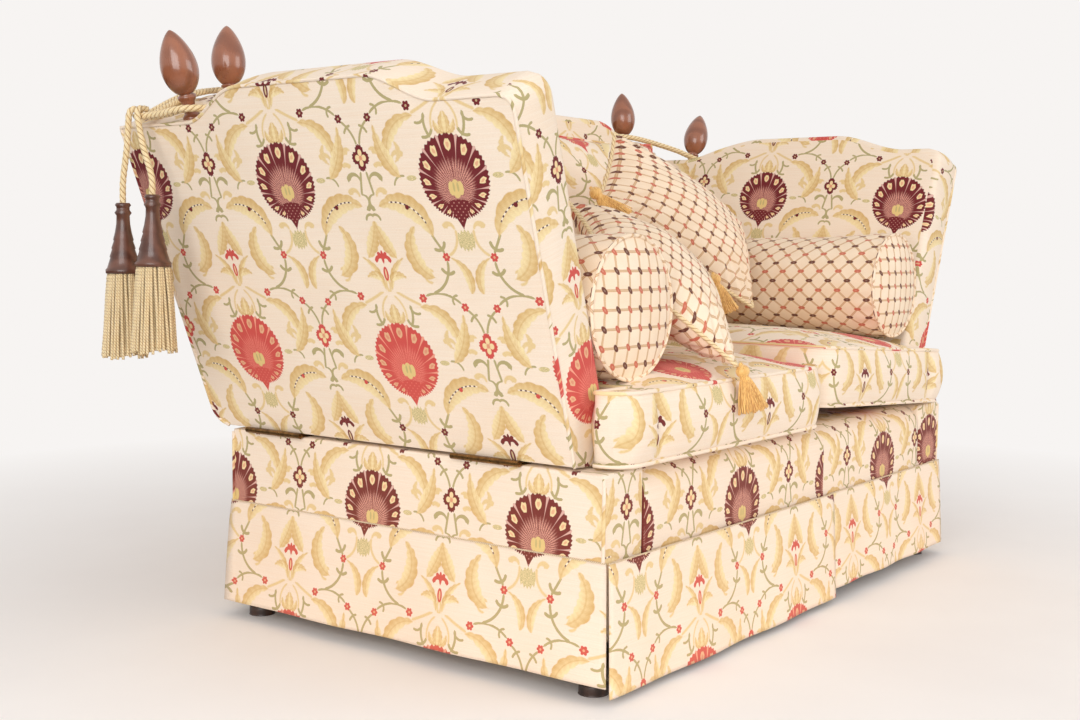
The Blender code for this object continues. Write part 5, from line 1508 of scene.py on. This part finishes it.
def tie_points():
    """The closed route gone round twice, each step a little further out than the one before."""
    loop = smooth_path(TIE_ROUTE, 2, closed=True)
    count = len(loop)
    step = np.arange(TIE_TURNS * count + 1)
    here = loop[step % count]
    ahead = (loop[(step + 1) % count] - loop[(step - 1) % count])[:, :2]
    out = np.stack([ahead[:, 1], -ahead[:, 0]], axis=1) / np.linalg.norm(ahead, axis=1, keepdims=True)
    out *= np.where((out * (here[:, :2] - loop[:, :2].mean(axis=0))).sum(axis=1) < 0, -1, 1)[:, None]
    here[:, :2] += out * (ROPE_PITCH * step / count)[:, None]
    return here


def rope_piece(name, body, node, route, sign, reference, **facts):
    """A three-strand rope along a route. Its facts as a free cord are gathered, then not used."""
    points = np.array(route) * np.array([sign, 1, 1])
    path, run = even_path(points, 0.0022)
    patches = tube_patches(path, run, ROPE_DIAMETER / 2, 18, rope_section(ROPE_TWIST, 3), reference=reference)
    made = dress(new_shell(name, patches, ROPE), body, "rope", node)
    world = [tuple(point) for point in points + SHIFT]
    facts.update(exit=world[0], length=float(run[-1]), diameter=ROPE_DIAMETER, stiffness="limp", path=world)
    print(name, "length", round(float(run[-1]), 3))


# %% [markdown]
# ## Turned wood
# Finials, bells and feet are profiles turned on a lathe. A finial is an egg on a stem, and the
# bell of a tassel has a stepped foot. Rings round them are cut lines, so they stay crisp.

# %% Finials and feet
FINIAL_STEM = (
    (0.0, 0.0), (1.0, 0.0), (1.02, 0.05), (1.0, 0.12), (0.72, 0.22), (0.66, 0.38), (0.66, 0.55),
    (0.78, 0.7), (0.97, 0.8), (1.0, 0.87), (0.97, 0.93), (0.64, 1.0),
)
FINIAL_FOOT_RADIUS, FINIAL_RADIUS, FINIAL_EGG = 0.017, 0.0335, 0.120
BACK_FINIAL_STEM, ARM_FINIAL_STEM = 0.022, 0.046
ARM_FINIAL_IN, ARM_FINIAL_ALONG, BACK_FINIAL_IN, BACK_FINIAL_OUT = 0.032, 0.3625, 0.065, 0.707
REST_GAP = 0.0003
FOOT_RADIUS, FOOT_HEIGHT, FOOT_IN = 0.030, 0.0997, (0.036, 0.0415)
FOOT_SHARES = (
    (0.0, 1.0), (0.62, 1.0), (0.70, 0.88), (0.92, 0.70), (1.0, 0.52), (0.90, 0.36), (0.72, 0.22),
    (0.83, 0.16), (0.83, 0.02), (0.80, 0.0), (0.0, 0.0),
)


def finial_profile(stem):
    """Stem shares, then an egg: radius x sin(pi t^0.78)^0.66 over its height."""
    start = np.array(FINIAL_STEM) * np.array([FINIAL_FOOT_RADIUS, stem])
    t = 0.04 + 0.96 * (1 - np.cos(np.linspace(0.12, math.pi, 40))) / 2
    radius = FINIAL_RADIUS * np.clip(np.sin(math.pi * t**0.78), 0, 1) ** 0.66
    radius[-1] = 0
    return np.concatenate([start, joined(radius, stem + FINIAL_EGG * (t - 0.04))])


def turned_piece(node, profile, up, origin, material, body, slot):
    """The node's piece, turned about the up line from its origin."""
    points, places = turned_patches(profile)
    made = new_shell(f"{node}_turned", [(stand(points, up, origin), places)], material)
    return dress(made, body, slot, node)


rake = np.array([0, math.sin(BACK_RAKE), math.cos(BACK_RAKE)])
ahead = np.array([0, -math.cos(BACK_RAKE), math.sin(BACK_RAKE)])
for side, sign in SIDES.items():
    lean = np.array([sign * math.sin(ARM_LEAN), 0, math.cos(ARM_LEAN)])
    out = np.array([sign * math.cos(ARM_LEAN), 0, -math.sin(ARM_LEAN)])
    foot = np.array([sign * BASE_HALF_WIDTH, 0, ARM_BOTTOM]) + lean * (ARM_SLOPE + REST_GAP)
    foot = foot - out * ARM_FINIAL_IN + np.array([0, ARM_FINIAL_ALONG, 0])
    profile = finial_profile(ARM_FINIAL_STEM)
    turned_piece(f"{side}_arm_finial", profile, lean, foot, MAHOGANY, f"{side}_arm", "mahogany")
    foot = np.array([0, BACK_REAR, BACK_BOTTOM]) + rake * (BACK_HEIGHT - BACK_FINIAL_DROP + REST_GAP)
    foot = foot + ahead * BACK_FINIAL_IN + np.array([sign * BACK_FINIAL_OUT, 0, 0])
    profile = finial_profile(BACK_FINIAL_STEM)
    turned_piece(f"{side}_back_finial", profile, rake, foot, MAHOGANY, "root", "mahogany")

foot_profile = smooth_path(np.array(FOOT_SHARES) * np.array([FOOT_RADIUS, FOOT_HEIGHT]), 4)
foot_profile = np.clip(foot_profile, 0, [1, FOOT_HEIGHT])
for end, way in (("front", -1), ("back", 1)):
    for side, sign in SIDES.items():
        origin = (sign * (BASE_HALF_WIDTH - FOOT_IN[0]), way * (BASE_HALF_DEPTH - FOOT_IN[1]), 0)
        node = f"{side}_{end}_foot"
        turned_piece(node, foot_profile, (0, 0, 1), origin, DARK_WOOD, "root", "dark_wood")
print("finials and feet made")

# %% [markdown]
# ## Tassels
# Each rope ends in a turned bell, and under it hangs a skirt of bullion: lengths of fine twisted
# cord side by side. Two rings of strands fill it, each strand with its own small sway.

# %% Bells and skirts
BELL_HEIGHT, BELL_RADIUS = 0.130, 0.033
BELL_SHARES = (
    (0.0, 0.0), (0.36, 0.0), (0.44, 0.03), (0.36, 0.06), (0.36, 0.1), (0.47, 0.14), (0.36, 0.18),
    (0.38, 0.3), (0.46, 0.42), (0.56, 0.52), (0.53, 0.54), (0.66, 0.64), (0.63, 0.66), (0.76, 0.76),
    (0.73, 0.78), (0.9, 0.92), (1.0, 0.95), (0.97, 1.0), (0.0, 1.0),
)
SKIRT_LENGTH, SKIRT_TOP, SKIRT_LOW = 0.160, 0.0275, 0.0395
SKIRT_LAYERS = ((0.002, 0.0, 0.0, 34, 1), (0.006, 0.006, 0.007, 26, 2))
STRAND_RADIUS, STRAND_PITCH = 0.0030, 0.011
CORD_IN_BELL = 0.155


def scatter_share(index, seed):
    """A fixed share from 0 to 1 for each index, from the broken part of a large sine."""
    return np.modf(np.abs(np.sin(index * 12.9898 + seed * 78.233)) * 43758.5453)[0]


def strand_patches(top, length, top_radius, low_radius, count, radius, seed):
    """Twisted strands round a cone, each one a thin tube with a slow sideways sway."""
    down = np.linspace(0, 1, 30)
    made = []
    for number in range(count):
        turn = math.tau * (number + 0.5 * (seed % 2)) / count
        sway = 0.0022 * math.sin(7 * number + seed) * np.sin(2.2 * down + number)
        reach = top_radius + (low_radius - top_radius) * down**0.8 + sway
        drop = length * (1 - 0.05 * scatter_share(number, seed)) * down
        bend = turn + 0.05 * np.sin(2.5 * down + 1.7 * number)
        path, run = even_path(joined(reach * np.cos(bend), reach * np.sin(bend), -drop) + top, length / 44)
        side_way = (math.sin(turn) + 0.01, -math.cos(turn), 0.3)
        made += tube_patches(path, run, radius, 7, rope_section(STRAND_PITCH, 2, 0.35), reference=side_way)
    return made


profile = np.array(BELL_SHARES) * np.array([BELL_RADIUS, -BELL_HEIGHT])
for side, sign in SIDES.items():
    node = f"{side}_tie_rope"
    route = tie_points()
    rope_piece(f"{node}_twist", f"{side}_arm", node, route, sign, (0, 0, 1), far_end="object", lay="taut")
    for end, route in TAIL_ROUTES.items():
        name, body = f"{side}_{end}_tassel", f"{side}_tassels"
        path = smooth_path(route, 4)
        inside = path[-1] - np.outer(np.linspace(0, 1, 12)[1:], (0, 0, CORD_IN_BELL))
        top = (path[-1] - np.array([0, 0, REST_GAP])) * np.array([sign, 1, 1])
        bell = turned_piece(f"{name}_bell", profile, (0, 0, 1), top, BELL_WOOD, body, "mahogany")
        hang = top - np.array([0, 0, BELL_HEIGHT + REST_GAP])
        patches = []
        for less, in_top, in_low, count, seed in SKIRT_LAYERS:
            radii = (SKIRT_TOP - in_top, SKIRT_LOW - in_low)
            patches += strand_patches(hang, SKIRT_LENGTH - less, *radii, count, STRAND_RADIUS, seed)
        skirt = new_shell(f"{name}_skirt_strands", patches, FRINGE)
        dress(skirt, body, "fringe", f"{name}_skirt")
        rope_piece(
            f"{name}_cord_twist", body, f"{name}_cord", np.vstack([path, inside]), sign, (0, 1, 0),
            far_end="fitting", lay="hanging", with_pieces=[bell, skirt],
        )

# %% Cushion tassels
TASSEL_LENGTH, TASSEL_REACH, TASSEL_NECK, TASSEL_STRANDS = 0.092, 0.0290, 0.0072, 150
TASSEL_HEAD_RADIUS, FINE_STRAND, GOLDEN_TURN = 0.018, 0.0012, 2.39996
TASSEL_HEAD = (
    (0.0, 0.0), (0.15, 0.0), (0.22, 0.04), (0.45, 0.07), (0.66, 0.12), (0.72, 0.17), (0.66, 0.23),
    (0.48, 0.28), (0.46, 0.34), (0.0, 0.36),
)
TASSEL_LEANS = {1: (0.16, -0.25, -1.0), 2: (0.20, -0.30, -1.0), 3: (0.42, -0.56, -0.70)}
TASSEL_MOVES = {1: (0.0, 0.0, 0.004), 2: (0.030, -0.034, 0.0), 3: (0.036, -0.056, 0.006)}


def cushion_tassel(number, lean):
    """A bound head and a fall of fine strands that spreads, in the space of its solid."""
    lean = np.array(lean) / np.linalg.norm(lean)
    low, high = (np.array(corner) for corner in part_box(f"cushion_tassel_{number}"))
    start = (low + high) / 2 + np.array(TASSEL_MOVES[number]) - lean * TASSEL_LENGTH / 2
    profile = smooth_path(np.array(TASSEL_HEAD) * np.array([TASSEL_HEAD_RADIUS, TASSEL_LENGTH]), 4)
    profile[:, 0] = np.clip(profile[:, 0], 0, None)
    points, places = turned_patches(profile, 32)
    patches = [(stand(points, lean, start), places)]
    down = np.linspace(0, 1, 14)
    across = np.cross(lean, (0, 1, 0))
    across /= np.linalg.norm(across)
    front = np.cross(across, lean)
    for strand in range(TASSEL_STRANDS):
        turn = strand * GOLDEN_TURN
        reach = math.sqrt((strand + 0.5) / TASSEL_STRANDS)
        radial = reach * (TASSEL_NECK + (TASSEL_REACH - TASSEL_NECK) * down**0.8)
        radial = (radial + 0.0022 * np.sin(3 * down + strand) * down)[:, None]
        drop = TASSEL_LENGTH * (0.30 + 0.70 * down * (1 - 0.08 * scatter_share(strand, number)))
        path = start + lean * drop[:, None] + radial * (across * math.cos(turn) + front * math.sin(turn))
        path, run = even_path(path, TASSEL_LENGTH / 24)
        patches += tube_patches(path, run, FINE_STRAND, 6, reference=tuple(front * 0.9 + across * 0.3))
    made = new_shell(f"cushion_tassel_{number}_strands", patches, SILKY, np.zeros(3))
    dress(made, "front_scatter_cushion", "fringe", f"cushion_tassel_{number}")


for number, lean in TASSEL_LEANS.items():
    cushion_tassel(number, lean)
print("tassels made")

# %% [markdown]
# ## What stays from the frame
# Hinges, rails, posts and the bearer have their right shapes already. They get their finishes
# here. The deck and the dust cover are cloth, so these are made again.

# %% Deck, dust cover and carried solids
def simple_slab(name, node, rounding, swell, material, slot):
    """A flat piece that fills its solid's box, with rounded edges and a swell on top."""
    low, high = (np.array(corner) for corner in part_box(node))
    span = high - low

    def place(s, q, inset, depth, face):
        rise = bow(s, q, 6, 6) * swell if face == "outer" else 0
        x, y = low[0] + inset + s * (span[0] - 2 * inset), low[1] + inset + q * (span[1] - 2 * inset)
        return joined(x, y, high[2] - swell + depth + rise)

    def cloth(edge, s, q, inset, depth):
        return joined(s * span[0], q * span[1])

    patches = slab_patches(place, cloth, 30, 30, edge_profile(span[2] - swell, rounding, rounding, 0.0))
    return dress(new_shell(name, patches, material, np.zeros(3)), "root", slot, node)


simple_slab("seat_deck_cloth", "seat_deck", 0.004, 0.001, DAMASK, "damask")
dust = simple_slab("dust_cover_cloth", "dust_cover", 0.001, 0.0, LINING, "lining")
low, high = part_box("dust_cover")
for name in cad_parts:
    solid = bpy.data.objects.get(name)
    wooden = any(word in name for word in ("rail", "post", "bearer"))
    finish = BRASS if "hinge" in name else FRAME_WOOD if wooden else None
    if finish and solid:
        for material_slot in solid.material_slots:
            material_slot.material = finish
print("deck and dust cover made")

# %% [markdown]
# ## Floor and light
# A pale floor and an even sky give the photograph's flat light. The background's own white is
# seen only by the camera and in reflections, so it adds no light to the cloth.

# %% Floor, world and lamps
SKY_LIGHT = 0.66
SKY_TONE, WALL_TONE = linear(255, 250, 246), linear(247, 244, 242)
FLOOR_TONES = (linear(246, 242, 240), linear(251, 248, 246))
FLOOR_HALF, FLOOR_NEAR, FLOOR_FAR = 9.0, 0.9, 2.7
LAMPS = {"left_softbox": ((-4.2, -1.9, 1.3), 122), "front_softbox": ((1.4, -4.6, 1.6), 84)}
LAMP_SIZE, LAMP_TARGET = 3.0, (0, 0, 0.5)

floor_mesh = bpy.data.meshes.new("floor")
corners = [(x * FLOOR_HALF, y * FLOOR_HALF, 0) for x, y in ((-1, -1), (1, -1), (1, 1), (-1, 1))]
floor_mesh.from_pydata(corners, [], [(0, 1, 2, 3)])
floor = bpy.data.objects.new("floor", floor_mesh)
bpy.context.scene.collection.objects.link(floor)
FLOOR, tree, shader = new_material("floor_paint", 0.75, Specular_IOR_Level=0.0, Emission_Color=WALL_TONE)
coordinates = object_place(tree)
fx, fy, _ = split(tree, coordinates)
far = (fx * fx + fy * fy).root().soft(FLOOR_NEAR, FLOOR_FAR)
scuffed = colour_mix(tree, noise(tree, coordinates, 1.6, 4.0).soft(0.3, 0.7), *FLOOR_TONES)
paint(tree, shader, far, scuffed, linear(0, 0, 0))
seen = Field(tree, tree.nodes.new("ShaderNodeLightPath").outputs["Is Camera Ray"])
tree.links.new((seen * far).socket, shader.inputs["Emission Strength"])
floor_mesh.materials.append(FLOOR)

world = bpy.data.worlds.new("studio")
bpy.context.scene.world = world
world.use_nodes = True
tree = world.node_tree
background = tree.nodes["Background"]
paths = tree.nodes.new("ShaderNodeLightPath")
camera_ray, glossy_ray, through_ray = (
    Field(tree, paths.outputs[f"Is {kind} Ray"]) for kind in ("Camera", "Glossy", "Transmission")
)
seen = (camera_ray + glossy_ray + through_ray).node("MINIMUM", 1.0)
tree.links.new(colour_mix(tree, seen, SKY_TONE, WALL_TONE), background.inputs["Color"])
tree.links.new(seen.times_plus(1.0 - SKY_LIGHT, SKY_LIGHT).socket, background.inputs["Strength"])
for name, (place, power) in LAMPS.items():
    data = bpy.data.lights.new(name, "AREA")
    data.size, data.energy = LAMP_SIZE, power
    lamp = bpy.data.objects.new(name, data)
    lamp.location = place
    lamp.rotation_euler = (Vector(LAMP_TARGET) - Vector(place)).to_track_quat("-Z", "Y").to_euler()
    bpy.context.scene.collection.objects.link(lamp)
bpy.context.scene.view_settings.view_transform = "Standard"
print("lamps:", ", ".join(LAMPS))
